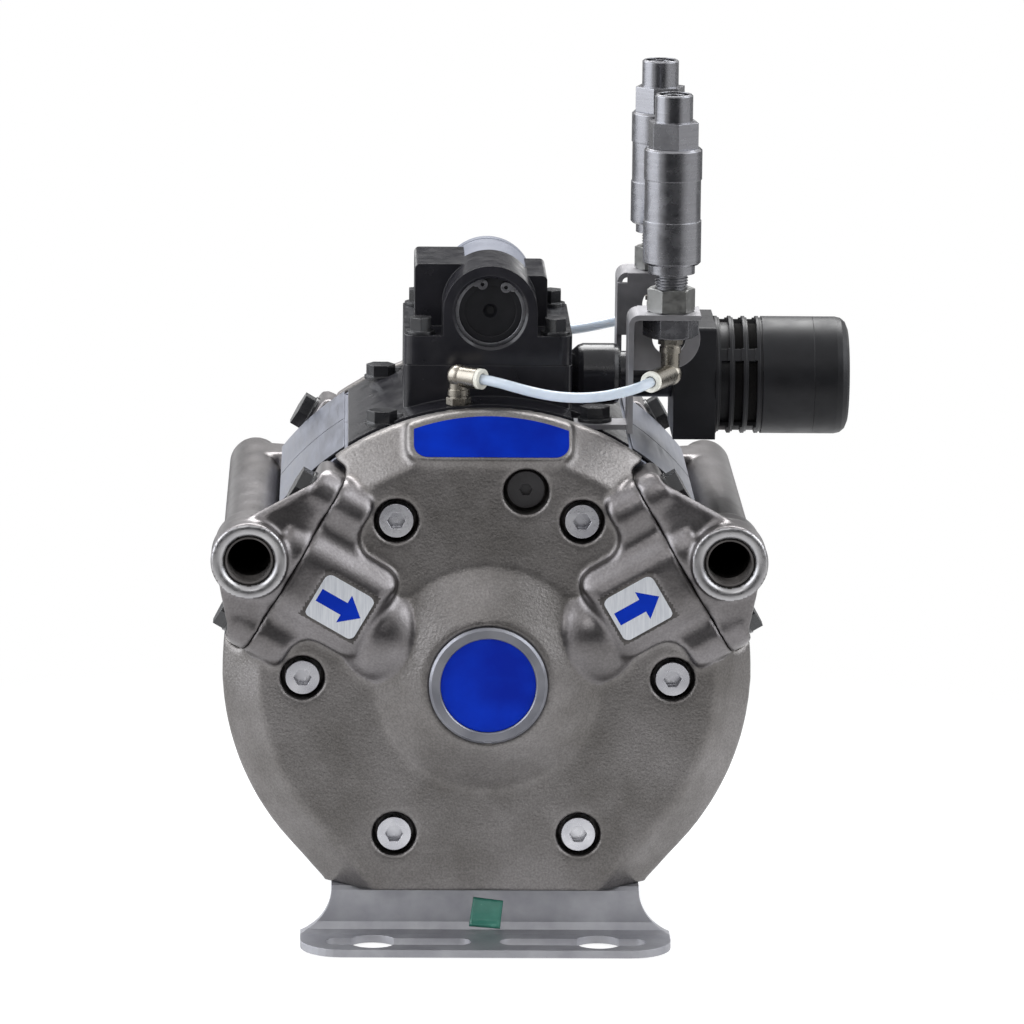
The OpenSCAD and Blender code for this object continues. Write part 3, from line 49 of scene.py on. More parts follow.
# Camera: fitted to the photograph from the symmetric pieces, 1024 x 1024
CAMERA_AZIMUTH = -1.49
CAMERA_ELEVATION = 11.47
CAMERA_ROLL = 0.61
CAMERA_DISTANCE = 2.627
CAMERA_TARGET = Vector((0.0108, 0.0, 0.1533))
FOCAL_PX = 6663.0
IMAGE_PX = 1024
SENSOR = 36.0


def make_camera():
    az, el, roll = (math.radians(a) for a in (CAMERA_AZIMUTH, CAMERA_ELEVATION, CAMERA_ROLL))
    forward = Vector((-math.sin(az) * math.cos(el), math.cos(az) * math.cos(el), -math.sin(el)))
    level = Vector((math.cos(az), math.sin(az), 0.0))
    upright = level.cross(forward)
    right = level * math.cos(roll) + upright * math.sin(roll)
    up = upright * math.cos(roll) - level * math.sin(roll)
    data = bpy.data.cameras.new("camera")
    data.sensor_width = SENSOR
    data.lens = FOCAL_PX / IMAGE_PX * SENSOR
    data.clip_end = 50.0
    camera = bpy.data.objects.new("camera", data)
    place = Matrix((right, up, -forward)).transposed().to_4x4()
    place.translation = CAMERA_TARGET - forward * CAMERA_DISTANCE
    camera.matrix_world = place
    scene.collection.objects.link(camera)
    scene.camera = camera


make_camera()


def link(obj):
    scene.collection.objects.link(obj)
    return obj


# Signal tubes: the same points as in part.scad
TUBE_D = 4.0 * MM
FRONT_ROUTE = [
    (-6.6, -56.77, 217.3), (-2.6, -59.78, 217.3), (3, -63.8, 216.9), (11, -68.4, 215.4),
    (19, -72.2, 214), (27, -75.5, 213.4), (35, -78.4, 213.6), (43, -81, 214.8),
    (49.5, -82.2, 216.4), (55, -81.4, 217.8), (58.5, -78.9, 218.7), (60.3, -75.74, 219.1),
    (61.9, -72.3, 219.1), (64, -67.8, 219.1)]
REAR_DROP = 1.8
REAR_SHARE = [0, 0, 0, 0.2, 0.3, 0.4, 0.6, 0.8, 1, 1, 1, 1, 1, 1]
REAR_ROUTE = [(x, -y, z - share * REAR_DROP) for (x, y, z), share in zip(FRONT_ROUTE, REAR_SHARE)]


def tube_curve(name, route):
    curve = bpy.data.curves.new(name, "CURVE")
    curve.dimensions = "3D"
    curve.bevel_depth = TUBE_D / 2
    curve.bevel_resolution = 6
    curve.resolution_u = 8
    curve.use_fill_caps = True
    spline = curve.splines.new("NURBS")
    spline.points.add(len(route) - 1)
    for point, place in zip(spline.points, route):
        point.co = (*(Vector(place) * MM), 1.0)
    spline.order_u = 4
    spline.use_endpoint_u = True
    return link(bpy.data.objects.new(name, curve))


# Materials
def srgb(r, g, b):
    """A colour from 0 to 255 as it is read off a screen, turned into light."""
    def light(c):
        return ((c / 255 + 0.055) / 1.055) ** 2.4 if c > 10 else c / 255 / 12.92
    return (light(r), light(g), light(b), 1.0)


MIX_A = 6       # colour sockets of a Mix node, which shares its names with other types
MIX_B = 7
MIX_RESULT = 2


class Look:
    """A principled material with procedural colour, roughness and bump."""

    def __init__(self, name, metallic=0.0, rough=0.5, **sockets):
        self.mat = bpy.data.materials.new(name)
        self.mat.use_nodes = True
        self.tree = self.mat.node_tree
        self.shader = self.tree.nodes["Principled BSDF"]
        self.shader.inputs["Metallic"].default_value = metallic
        self.shader.inputs["Roughness"].default_value = rough
        for key, value in sockets.items():
            self.shader.inputs[key.replace("_", " ")].default_value = value
        self.coords = self.node("ShaderNodeTexCoord").outputs["Object"]
        self.normal = None

    def node(self, kind, **settings):
        node = self.tree.nodes.new(kind)
        for key, value in settings.items():
            setattr(node, key, value)
        return node

    def wire(self, out, into):
        self.tree.links.new(out, into)

    def noise(self, size, detail=4.0, rough=0.55, stretch=None, offset=0.0):
        """Noise whose features measure about size metres."""
        mapping = self.node("ShaderNodeMapping")
        self.wire(self.coords, mapping.inputs["Vector"])
        scale = 1.0 / size
        along = stretch or (1.0, 1.0, 1.0)
        mapping.inputs["Scale"].default_value = tuple(scale * a for a in along)
        mapping.inputs["Location"].default_value = (offset, offset * 0.7, offset * 0.3)
        noise = self.node("ShaderNodeTexNoise")
        noise.inputs["Scale"].default_value = 1.0
        noise.inputs["Detail"].default_value = detail
        noise.inputs["Roughness"].default_value = rough
        self.wire(mapping.outputs["Vector"], noise.inputs["Vector"])
        return noise.outputs["Fac"]

    def ramp(self, fac, stops):
        ramp = self.node("ShaderNodeValToRGB")
        elements = ramp.color_ramp.elements
        while len(elements) < len(stops):
            elements.new(0.5)
        for element, (at, colour) in zip(elements, stops):
            element.position = at
            element.color = srgb(*colour)
        self.wire(fac, ramp.inputs["Fac"])
        return ramp.outputs["Color"]

    def span(self, fac, low, high, at0=0.3, at1=0.7):
        node = self.node("ShaderNodeMapRange")
        node.inputs["From Min"].default_value = at0
        node.inputs["From Max"].default_value = at1
        node.inputs["To Min"].default_value = low
        node.inputs["To Max"].default_value = high
        self.wire(fac, node.inputs["Value"])
        return node.outputs["Result"]

    def colour(self, out):
        self.wire(out, self.shader.inputs["Base Color"])
        return self

    def recolour(self, mix):
        """Put a Mix node between the colour so far and the shader."""
        self.wire(self.shader.inputs["Base Color"].links[0].from_socket, mix.inputs[MIX_A])
        return self.colour(mix.outputs[MIX_RESULT])

    def roughness(self, out):
        self.wire(out, self.shader.inputs["Roughness"])
        return self

    def bump(self, height, distance, strength=1.0):
        node = self.node("ShaderNodeBump")
        node.inputs["Distance"].default_value = distance
        node.inputs["Strength"].default_value = strength
        self.wire(height, node.inputs["Height"])
        if self.normal is not None:
            self.wire(self.normal, node.inputs["Normal"])
        self.normal = node.outputs["Normal"]
        self.wire(self.normal, self.shader.inputs["Normal"])
        return self

    def speckle(self, size, low, high):
        """Fine grain that lightens and darkens the colour."""
        grain = self.span(self.noise(size, 2.0, offset=3.0), low, high, 0.35, 0.65)
        mix = self.node("ShaderNodeMix", data_type="RGBA", blend_type="MULTIPLY")
        mix.inputs["Factor"].default_value = 1.0
        self.wire(grain, mix.inputs[MIX_B])
        return self.recolour(mix)

    def seams(self, places, half_width, dark):
        """Dark hairlines at these distances in front of and behind the middle of the pump."""
        split = self.node("ShaderNodeSeparateXYZ")
        self.wire(self.node("ShaderNodeNewGeometry").outputs["Position"], split.inputs[0])
        side = self.node("ShaderNodeMath", operation="ABSOLUTE")
        self.wire(split.outputs["Y"], side.inputs[0])
        total = None
        for place in places:
            line = self.node("ShaderNodeMath", operation="COMPARE")
            self.wire(side.outputs[0], line.inputs[0])
            line.inputs[1].default_value = place
            line.inputs[2].default_value = half_width
            if total is None:
                total = line.outputs[0]
            else:
                both = self.node("ShaderNodeMath", operation="MAXIMUM")
                self.wire(total, both.inputs[0])
                self.wire(line.outputs[0], both.inputs[1])
                total = both.outputs[0]
        mix = self.node("ShaderNodeMix", data_type="RGBA")
        self.wire(total, mix.inputs["Factor"])
        mix.inputs[MIX_B].default_value = srgb(*dark)
        return self.recolour(mix)

    def soft_edges(self, radius):
        node = self.node("ShaderNodeBevel", samples=6)
        node.inputs["Radius"].default_value = radius
        self.normal = node.outputs["Normal"]
        self.wire(self.normal, self.shader.inputs["Normal"])
        return self


def blotched(look, light, dark, size):
    """Two tones that drift into each other over the surface."""
    return look.colour(look.ramp(look.noise(size, 5.0), [(0.35, dark), (0.65, light)]))


def cast_steel():
    look = Look("cast_steel", metallic=1.0, rough=0.42).soft_edges(1.2 * MM)
    blotched(look, (126, 123, 122), (106, 103, 101), 30 * MM)
    look.speckle(0.8 * MM, 0.86, 1.14)
    look.roughness(look.span(look.noise(6 * MM, 6.0), 0.36, 0.5))
    look.bump(look.noise(1.1 * MM, 3.0), 0.25 * MM, 0.7)
    return look.mat


def cast_satin():
    look = Look("cast_satin", metallic=1.0, rough=0.34).soft_edges(2.0 * MM)
    blotched(look, (125, 122, 123), (108, 105, 105), 25 * MM)
    look.speckle(0.9 * MM, 0.88, 1.1)
    look.roughness(look.span(look.noise(10 * MM, 5.0), 0.31, 0.37))
    look.bump(look.noise(1.3 * MM, 3.0), 0.12 * MM, 0.6)
    return look.mat


SEAM_PLACES = (0.0, 59 * MM)
SEAM_HALF = 0.6 * MM


def satin_aluminium(name, seams=False):
    look = Look(name, metallic=1.0, rough=0.38).soft_edges(0.6 * MM)
    blotched(look, (152, 155, 166), (138, 141, 152), 40 * MM)
    if seams:
        look.seams(SEAM_PLACES, SEAM_HALF, (20, 20, 22))
    look.roughness(look.span(look.noise(3 * MM, 4.0, stretch=(1.0, 0.1, 1.0)), 0.3, 0.42))
    look.bump(look.noise(0.5 * MM, 3.0, stretch=(1.0, 0.08, 1.0)), 0.03 * MM, 0.4)
    return look.mat


def turned_steel(name, light, dark, rough):
    """Polished on a lathe: fine level rings round an upright axis."""
    look = Look(name, metallic=1.0, rough=rough).soft_edges(0.3 * MM)
    rings = look.noise(0.5 * MM, 3.0, stretch=(0.02, 0.02, 1.0))
    look.colour(look.ramp(rings, [(0.3, dark), (0.7, light)]))
    look.roughness(look.span(look.noise(4 * MM, 4.0), rough - 0.03, rough + 0.07))
    look.bump(rings, 0.004 * MM, 0.3)
    return look.mat


def machined_steel(name, light, dark, rough, edge=0.3):
    look = Look(name, metallic=1.0, rough=rough).soft_edges(edge * MM)
    blotched(look, light, dark, 12 * MM)
    look.roughness(look.span(look.noise(1.5 * MM, 4.0), rough, rough + 0.14))
    look.bump(look.noise(0.4 * MM, 2.0), 0.008 * MM, 0.4)
    return look.mat


def dark_coated(name, light, dark, rough, grain=0.8, depth=0.05, edge=0.5, shine=0.4):
    look = Look(name, rough=rough, Specular_IOR_Level=shine).soft_edges(edge * MM)
    blotched(look, light, dark, 18 * MM)
    look.roughness(look.span(look.noise(8 * MM, 5.0), rough - 0.06, rough + 0.08))
    look.bump(look.noise(grain * MM, 3.0), depth * MM, 0.5)
    return look.mat


def plastic(name, light, dark, rough, grain=0.6, depth=0.04, shine=0.45):
    look = Look(name, rough=rough, Specular_IOR_Level=shine).soft_edges(0.4 * MM)
    blotched(look, light, dark, 20 * MM)
    look.roughness(look.span(look.noise(5 * MM, 5.0), rough - 0.05, rough + 0.07))
    look.bump(look.noise(grain * MM, 3.0), depth * MM, 0.5)
    return look.mat


def tube_plastic():
    look = Look("tubing", rough=0.18, Transmission_Weight=0.15, IOR=1.45, Subsurface_Weight=0.4)
    look.shader.inputs["Subsurface Radius"].default_value = (1.5 * MM, 1.8 * MM, 2.0 * MM)
    look.shader.inputs["Subsurface Scale"].default_value = 1.0
    blotched(look, (206, 214, 222), (192, 201, 211), 9 * MM)
    look.bump(look.noise(3 * MM, 3.0), 0.03 * MM, 0.3)
    return look.mat


def blue_film():
    look = Look("blue_label", rough=0.35, Specular_IOR_Level=0.06)
    blotched(look, (3, 46, 170), (2, 30, 138), 26 * MM)
    look.bump(look.noise(2.5 * MM, 3.0), 0.02 * MM, 0.3)
    return look.mat


def silver_film():
    look = Look("silver_label", metallic=1.0, rough=0.36)
    grain = look.noise(0.35 * MM, 3.0, stretch=(1.0, 1.0, 0.05))
    look.colour(look.ramp(grain, [(0.3, (216, 220, 228)), (0.7, (238, 241, 246))]))
    look.roughness(look.span(grain, 0.3, 0.44))
    look.bump(grain, 0.01 * MM, 0.4)
    return look.mat


MATERIALS = {
    "cast_steel": cast_steel(),
    "cast_satin": cast_satin(),
    "satin_aluminium": satin_aluminium("satin_aluminium"),
    "air_housing": satin_aluminium("air_housing", seams=True),
    "machined_steel": machined_steel("machined_steel", (200, 200, 204), (168, 168, 174), 0.22),
    "ball_steel": machined_steel("ball_steel", (214, 214, 218), (196, 196, 202), 0.08),
    "spring_steel": machined_steel("spring_steel", (150, 150, 154), (120, 120, 124), 0.25),
    "elastomer": plastic("elastomer", (44, 44, 46), (30, 30, 32), 0.6),
    "ptfe": plastic("ptfe", (226, 224, 213), (212, 209, 196), 0.35),
    "bronze": machined_steel("bronze", (196, 160, 98), (168, 132, 76), 0.28),
    "dark_manifold": dark_coated("dark_manifold", (36, 35, 39), (25, 25, 29), 0.2, 0.8, 0.015),
    "dark_plastic": dark_coated("dark_plastic", (26, 26, 29), (16, 16, 19), 0.42, 0.5, 0.04,
                                shine=0.25),
    "grey_plastic": plastic("grey_plastic", (118, 121, 132), (106, 109, 120), 0.45, shine=0.3),
    "felt": plastic("felt", (32, 31, 30), (20, 19, 19), 0.9, 0.4, 0.3, shine=0.1),
    "black_bolts": dark_coated("black_bolts", (44, 44, 46), (28, 28, 30), 0.2, 0.4, 0.015, 0.4,
                               shine=0.6),
    "bright_screws": machined_steel("bright_screws", (206, 206, 210), (176, 176, 182), 0.24),
    "sheet_steel": machined_steel("sheet_steel", (146, 145, 148), (130, 129, 132), 0.4),
    "foot_steel": machined_steel("foot_steel", (168, 168, 172), (152, 152, 157), 0.48),
    "polished_steel": turned_steel("polished_steel", (144, 144, 148), (134, 134, 138), 0.24),
    "zinc": machined_steel("zinc", (148, 148, 146), (128, 128, 126), 0.28),
    "nickel_brass": machined_steel("nickel_brass", (150, 145, 136), (134, 129, 120), 0.22),
    "tubing": tube_plastic(),
    "blue_label": blue_film(),
    "silver_label": silver_film(),
    "blue_print": plastic("blue_print", (3, 44, 160), (2, 36, 142), 0.5, shine=0.06),
    "green_film": plastic("green_film", (74, 140, 122), (40, 98, 84), 0.22, 3.0, 0.25),
    "dark_plug": plastic("dark_plug", (52, 50, 51), (38, 36, 37), 0.5),
    "ring_aluminium": machined_steel("ring_aluminium", (140, 141, 147), (122, 123, 130), 0.34),
    "port_face": machined_steel("port_face", (176, 175, 176), (154, 153, 155), 0.26),
    "thread_steel": machined_steel("thread_steel", (140, 140, 143), (116, 116, 120), 0.26,
                                   edge=0.04),
    "dark_steel": machined_steel("dark_steel", (92, 89, 88), (70, 68, 67), 0.36),
}

# Nodes that look different from the rest of their slot
OWN_LOOK = {
    "hub_ring": "ring_aluminium",
    "front_air_housing": "air_housing",
    "rear_air_housing": "air_housing",
    "front_foot": "foot_steel",
    "rear_foot": "foot_steel",
}


def give(mesh, *names):
    mesh.materials.clear()
    for name in names:
        mesh.materials.append(MATERIALS[name])


for part in frame["record"]["subparts"]:
    give(nodes[part["node"]].data, OWN_LOOK.get(part["node"], part["material_slot"]))


# Frames of the CAD, in millimetres
AXIS_Z = 105
BODY_R = 102
FACE_R = 87.5
JOINT_D = 62
RIM_D = 68
FACE_D = 84
HUB_D = 95
FLAT_DROP = 84
SEAM_N = 86.5
FLANGE_T = 9.5
FLANGE_OUT_T = 20
CHECK_T = -2
BARREL_TOP_D = 96
PORT_N = 103.5
PORT_T = -3.5
PORT_FACE_D = 100
PORT_R = 14.65
THREAD_R = 9.2
SCREW_CIRCLE_R = 71
COUNTERBORE_R = 8.5
VENT = (14, 73)
VENT_R = 8.75
POCKET_N = 11.9
POCKET_T = 10.5
POCKET_FLOOR_D = 92
HUB_RING_R = 22.7
ARROW_N = 64.5
DOME = (42.5, -6.5, 71.5)
DOME_R = 21.5
TILT = math.radians(30)
SCREWS = 6
BARREL_FROM_N = 46
BARREL_HALF_T = 20.5
EARS_FROM_N = 70
EARS_HALF_T = 41

# Rounding of the castings
VOXEL = 0.85 * MM
COVER_STEPS = 14
MANIFOLD_STEPS = 12
HELD = 0.85          # share of the rounding that a machined edge is spared
FILLET_STEPS = 2     # first steps, which round every edge a little
FILLET_FREE = 0.6
RELAX = 0.5
BORE_MARGIN = 1.2


def check_axes(side):
    """Columns that turn (n, t, d) of a check valve into (x, y, d) of the front."""
    c, s = math.cos(TILT), math.sin(TILT)
    return np.array([[side * c, -side * s, 0.0], [s, c, 0.0], [0.0, 0.0, 1.0]])


def to_world(points, end=1):
    """(x, y, d) of the front, or of the rear with end -1, into metres of the frame."""
    points = np.asarray(points, dtype=float)
    return np.stack([points[..., 0], -end * points[..., 2], AXIS_Z + points[..., 1]], axis=-1) * MM


def to_front(points, end=1):
    points = points / MM
    return np.stack([points[..., 0], points[..., 2] - AXIS_Z, -end * points[..., 1]], axis=-1)


def to_check(front, side):
    return front @ check_axes(side)


def check_world(points, side, end=1):
    return to_world(np.asarray(points, dtype=float) @ check_axes(side).T, end)


def near(value, at, reach):
    """1 at a place and 0 beyond its reach."""
    return np.clip(1.5 - np.abs(value - at) / reach, 0, 1)


def cover_hold(front):
    """How much of a cover's shape is machined and keeps its edges, from 0 to 1."""
    x, y, d = front.T
    r = np.hypot(x, y)
    hold = near(d, JOINT_D, BORE_MARGIN)
    hold = np.maximum(hold, near(y, -FLAT_DROP, 1.0))
    hold = np.maximum(hold, (d < FACE_D - 6) & (r < 60))
    for k in range(SCREWS):
        a = math.radians(360 / SCREWS * k)
        to_bore = np.hypot(x - SCREW_CIRCLE_R * math.cos(a), y - SCREW_CIRCLE_R * math.sin(a))
        hold = np.maximum(hold, to_bore < COUNTERBORE_R + BORE_MARGIN)
    hold = np.maximum(hold, np.hypot(x - VENT[0], y - VENT[1]) < VENT_R + BORE_MARGIN)
    hold = np.maximum(hold, (r < HUB_RING_R + BORE_MARGIN) & (d > HUB_D - 5))
    for side in (-1, 1):
        n, t, dd = to_check(front, side).T
        hold = np.maximum(hold, near(n, SEAM_N, 1.0))
        pocket = (np.abs(n - ARROW_N) < POCKET_N + 0.1) & (np.abs(t - CHECK_T) < POCKET_T + 0.1)
        hold = np.maximum(hold, pocket & (dd > BARREL_TOP_D - 4))
    return hold.astype(float)


def manifold_hold(side):
    def hold_of(front):
        hold = np.zeros(len(front))
        n, t, d = to_check(front, side).T
        to_port = np.hypot(n - PORT_N, t - PORT_T)
        hold = np.maximum(hold, near(n, SEAM_N, 1.0))
        hold = np.maximum(hold, near(n, SEAM_N + FLANGE_T, 0.8) * (np.abs(t) > FLANGE_OUT_T))
        hold = np.maximum(hold, (to_port < PORT_R + 0.6) & (d > PORT_FACE_D - 2))
        hold = np.maximum(hold, to_port < THREAD_R + 1.5)
        return hold
    return hold_of


def softened(node, name, hold_of, steps, end=1):
    """A copy of a casting whose corners are filled and whose edges are rounded."""
    source = nodes[node]
    obj = link(bpy.data.objects.new(name, source.data.copy()))
    remesh = obj.modifiers.new("remesh", "REMESH")
    remesh.mode = "VOXEL"
    remesh.voxel_size = VOXEL
    evaluated = obj.evaluated_get(bpy.context.evaluated_depsgraph_get())
    mesh = bpy.data.meshes.new_from_object(evaluated)
    obj.modifiers.clear()
    obj.data = mesh
    mesh.name = name
    count = len(mesh.vertices)
    co = np.empty(count * 3)
    mesh.vertices.foreach_get("co", co)
    co = co.reshape(-1, 3)
    pairs = np.empty(len(mesh.edges) * 2, dtype=np.int64)
    mesh.edges.foreach_get("vertices", pairs)
    a, b = pairs.reshape(-1, 2).T
    degree = np.bincount(a, minlength=count) + np.bincount(b, minlength=count)
    free = 1 - HELD * hold_of(to_front(co, end))
    for step in range(steps):
        mean = np.stack([np.bincount(a, co[b, k], count) + np.bincount(b, co[a, k], count)
                         for k in range(3)], axis=1) / degree[:, None]
        weight = RELAX * (np.maximum(free, FILLET_FREE) if step < FILLET_STEPS else free)
        co += weight[:, None] * (mean - co)
    mesh.vertices.foreach_set("co", co.ravel())
    mesh.polygons.foreach_set("use_smooth", np.ones(len(mesh.polygons), dtype=bool))
    mesh.update()
    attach(obj, "pump")
    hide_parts(node)
    return obj


def face_centres(mesh, end=1):
    centres = np.empty(len(mesh.polygons) * 3)
    mesh.polygons.foreach_get("center", centres)
    return to_front(centres.reshape(-1, 3), end)


def housing_faces(front):
    """True on the check valve housings that stand out of a cover."""
    r = np.hypot(front[:, 0], front[:, 1])
    bevel = FACE_D - (r - FACE_R) * (FACE_D - RIM_D) / (BODY_R - FACE_R)
    skin = np.where(r < FACE_R, FACE_D, bevel)
    out = front[:, 2] > skin + 0.7
    found = np.zeros(len(front), dtype=bool)
    for side in (-1, 1):
        n, t, d = to_check(front, side).T
        barrel = (n > BARREL_FROM_N) & (np.abs(t + 0.5) < BARREL_HALF_T)
        ears = (n > EARS_FROM_N) & (np.abs(t - 1) < EARS_HALF_T)
        to_dome = np.sqrt((n - DOME[0]) ** 2 + (t - DOME[1]) ** 2 + (d - DOME[2]) ** 2)
        found |= barrel | ears | (to_dome < DOME_R + 0.8)
    return found & out


def cast_cover(node, name, end):
    obj = softened(node, name, cover_hold, COVER_STEPS, end)
    give(obj.data, "cast_steel", "cast_satin", "dark_steel")
    front = face_centres(obj.data, end)
    index = housing_faces(front).astype(np.int32)
    if end == 1:
        for side in (-1, 1):
            n, t, d = to_check(front, side).T
            pocket = (np.abs(n - ARROW_N) < POCKET_N) & (np.abs(t - CHECK_T) < POCKET_T)
            index[pocket & (d > POCKET_FLOOR_D) & (d < BARREL_TOP_D - 0.3)] = 2
    obj.data.polygons.foreach_set("material_index", index)


def cast_manifold(node, name, side):
    obj = softened(node, name, manifold_hold(side), MANIFOLD_STEPS)
    give(obj.data, "cast_satin", "port_face", "dark_steel")
    front = face_centres(obj.data)
    n, t, d = to_check(front, side).T
    to_port = np.hypot(n - PORT_N, t - PORT_T)
    index = np.zeros(len(front), dtype=np.int32)
    index[(d > PORT_FACE_D - 1.6) & (to_port < PORT_R - 0.5)] = 1
    inside = (d < PORT_FACE_D - 1.5) & (d > 1 - PORT_FACE_D)
    index[inside & (to_port < THREAD_R + 0.6)] = 2
    obj.data.polygons.foreach_set("material_index", index)


cast_cover("front_fluid_cover", "front_cover_casting", 1)
cast_cover("rear_fluid_cover", "rear_cover_casting", -1)
cast_manifold("inlet_manifold", "inlet_manifold_casting", -1)
cast_manifold("outlet_manifold", "outlet_manifold_casting", 1)


def solid(name, points, faces, material, slot=None, body="pump", smooth=False):
    mesh = bpy.data.meshes.new(name)
    mesh.from_pydata([tuple(p) for p in points], [], faces)
    mesh.validate()
    bm = bmesh.new()
    bm.from_mesh(mesh)
    bmesh.ops.recalc_face_normals(bm, faces=bm.faces)
    bm.to_mesh(mesh)
    bm.free()
    for polygon in mesh.polygons:
        polygon.use_smooth = smooth
    mesh.materials.append(material)
    obj = link(bpy.data.objects.new(name, mesh))
    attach(obj, body)
    return obj


def prism(outline_low, outline_high):
    """Points and faces of a closed prism between two equal rings of points."""
    count = len(outline_low)
    faces = [[(k + 1) % count, k, count + k, count + (k + 1) % count] for k in range(count)]
    faces += [list(range(count)), list(range(2 * count - 1, count - 1, -1))]
    return list(outline_low) + list(outline_high), faces


def lathe(name, profile, centre, axis, material, slot, steps=72):
    """A closed ring: an outline of (radius, height) turned round an axis, in millimetres."""
    centre, axis = Vector(centre), Vector(axis).normalized()
    u = axis.orthogonal().normalized()
    v = axis.cross(u)
    points, faces = [], []
    count = len(profile)
    for k in range(steps):
        a = 2 * math.pi * k / steps
        out = u * math.cos(a) + v * math.sin(a)
        points += [(centre + out * r + axis * h) * MM for r, h in profile]
        for j in range(count):
            i, j2, k2 = k * count, (j + 1) % count, (k + 1) % steps * count
            faces.append([i + j, i + j2, k2 + j2, k2 + j])
    return solid(name, points, faces, material, slot)


def thread_outline(plain, root, crest, start, length, pitch):
    """Outline of a threaded sleeve: a plain wall on one side, rounded ridges on the other."""
    turns = int(length / pitch)
    ridges = []
    for k in range(turns):
        h = start + k * pitch
        ridges += [(root, h), (root, h + 0.2 * pitch), (crest, h + 0.45 * pitch),
                   (crest, h + 0.65 * pitch), (root, h + 0.9 * pitch)]
    end = start + turns * pitch
    return ridges + [(root, end), (plain, end), (plain, start)]


# Threads in the two ports and under the signal cylinders
PORT_X = PORT_N * math.cos(TILT) - PORT_T * math.sin(TILT)
PORT_Z = AXIS_Z + PORT_N * math.sin(TILT) + PORT_T * math.cos(TILT)
for side, name in ((-1, "inlet_port_thread"), (1, "outlet_port_thread")):
    outline = thread_outline(THREAD_R - 0.03, THREAD_R - 0.2, THREAD_R - 0.95, 0, 12.8, 1.6)
    lathe(name, outline, (side * PORT_X, -(PORT_FACE_D - 2.2), PORT_Z), (0, 1, 0),
          MATERIALS["dark_steel"], "cast_satin")
SIGNAL_X = 69.5
SIGNAL_Y = 56
SHANK_R = 5.75
SHANK_Z = 252.9
for end, name in ((-1, "front_shank_thread"), (1, "rear_shank_thread")):
    outline = thread_outline(SHANK_R + 0.02, SHANK_R + 0.06, SHANK_R + 0.62, 0, 5.6, 1.1)
    drop = REAR_DROP if end > 0 else 0
    lathe(name, outline, (SIGNAL_X, end * SIGNAL_Y, SHANK_Z - drop), (0, 0, 1),
          MATERIALS["thread_steel"], "polished_steel")


# Plain arrows on the two side plates: inwards at the inlet, outwards at the outlet
ARROW_HALF = 9.1
ARROW_HEAD = 7.2
ARROW_SHAFT_W = 2.65
ARROW_HEAD_W = 6.05
ARROW_LOW_D = 94.9
ARROW_TOP_D = 95.06


def arrow(name, side):
    neck = ARROW_HALF - ARROW_HEAD
    outline = [(-ARROW_HALF, -ARROW_SHAFT_W), (neck, -ARROW_SHAFT_W), (neck, -ARROW_HEAD_W),
               (ARROW_HALF, 0), (neck, ARROW_HEAD_W), (neck, ARROW_SHAFT_W),
               (-ARROW_HALF, ARROW_SHAFT_W)]
    rings = [check_world([(ARROW_N + side * n, CHECK_T + t, d) for n, t in outline], side)
             for d in (ARROW_LOW_D, ARROW_TOP_D)]
    solid(name, *prism(*rings), MATERIALS["blue_print"], "blue_label")


arrow("inlet_arrow", -1)
arrow("outlet_arrow", 1)


# Bare green sticker on the front foot
STICKER = [(-6.2, 5.4), (5.8, 4.5), (7.0, 15.4), (-4.6, 16.9)]
STICKER_T = 0.15


def sticker():
    foot = nodes["front_foot"]
    steps = 10
    corners = [Vector(c) for c in STICKER]
    low, high = [], []
    for j in range(steps + 1):
        for i in range(steps + 1):
            u, v = i / steps, j / steps
            x, z = corners[0].lerp(corners[1], u).lerp(corners[3].lerp(corners[2], u), v)
            hit, place, normal, face = foot.ray_cast(Vector((x, -150, z)) * MM, Vector((0, 1, 0)))
            low.append(place + Vector((0, 0.05 * MM, 0)))
            high.append(place - Vector((0, STICKER_T * MM, 0)))
    row = steps + 1
    total = row * row
    faces = []
    for j in range(steps):
        for i in range(steps):
            k = j * row + i
            faces.append([k, k + 1, k + 1 + row, k + row])
            faces.append([total + k + row, total + k + 1 + row, total + k + 1, total + k])
    rim = ([(i, 0) for i in range(steps)] + [(steps, j) for j in range(steps)]
           + [(i, steps) for i in range(steps, 0, -1)] + [(0, j) for j in range(steps, 0, -1)])
    ring = [j * row + i for i, j in rim]
    for a, b in zip(ring, ring[1:] + ring[:1]):
        faces.append([a, total + a, total + b, b])
    solid("foot_sticker", low + high, faces, MATERIALS["green_film"], smooth=True)


sticker()


def tube(name, node, route):
    obj = tube_curve(name, route)
    obj.data.materials.append(MATERIALS["tubing"])
    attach(obj, "pump")
    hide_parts(node)


tube("front_signal_tube", "front_tube", FRONT_ROUTE)
tube("rear_signal_tube", "rear_tube", REAR_ROUTE)


# Stage and light
def seen_directly(tree):
    """1 for camera, glossy and transmission rays: what looks at the background or mirrors it."""
    path = tree.nodes.new("ShaderNodeLightPath")
    total = path.outputs["Is Camera Ray"]
    for name in ("Is Glossy Ray", "Is Transmission Ray"):
        add = tree.nodes.new("ShaderNodeMath")
        add.operation = "ADD"
        add.use_clamp = True
        tree.links.new(total, add.inputs[0])
        tree.links.new(path.outputs[name], add.inputs[1])
        total = add.outputs[0]
    return total


FLOOR_SIZE = 14
FLOOR_DROP = 0.0004
FLOOR_GLOW = 0.78
FLOOR_SHADE = (0.35, 0.35, 0.35, 1)
FADE_FROM = 0.18
FADE_TO = 0.42
ROOM_LIGHT = 0.3
WHITE = 1.0


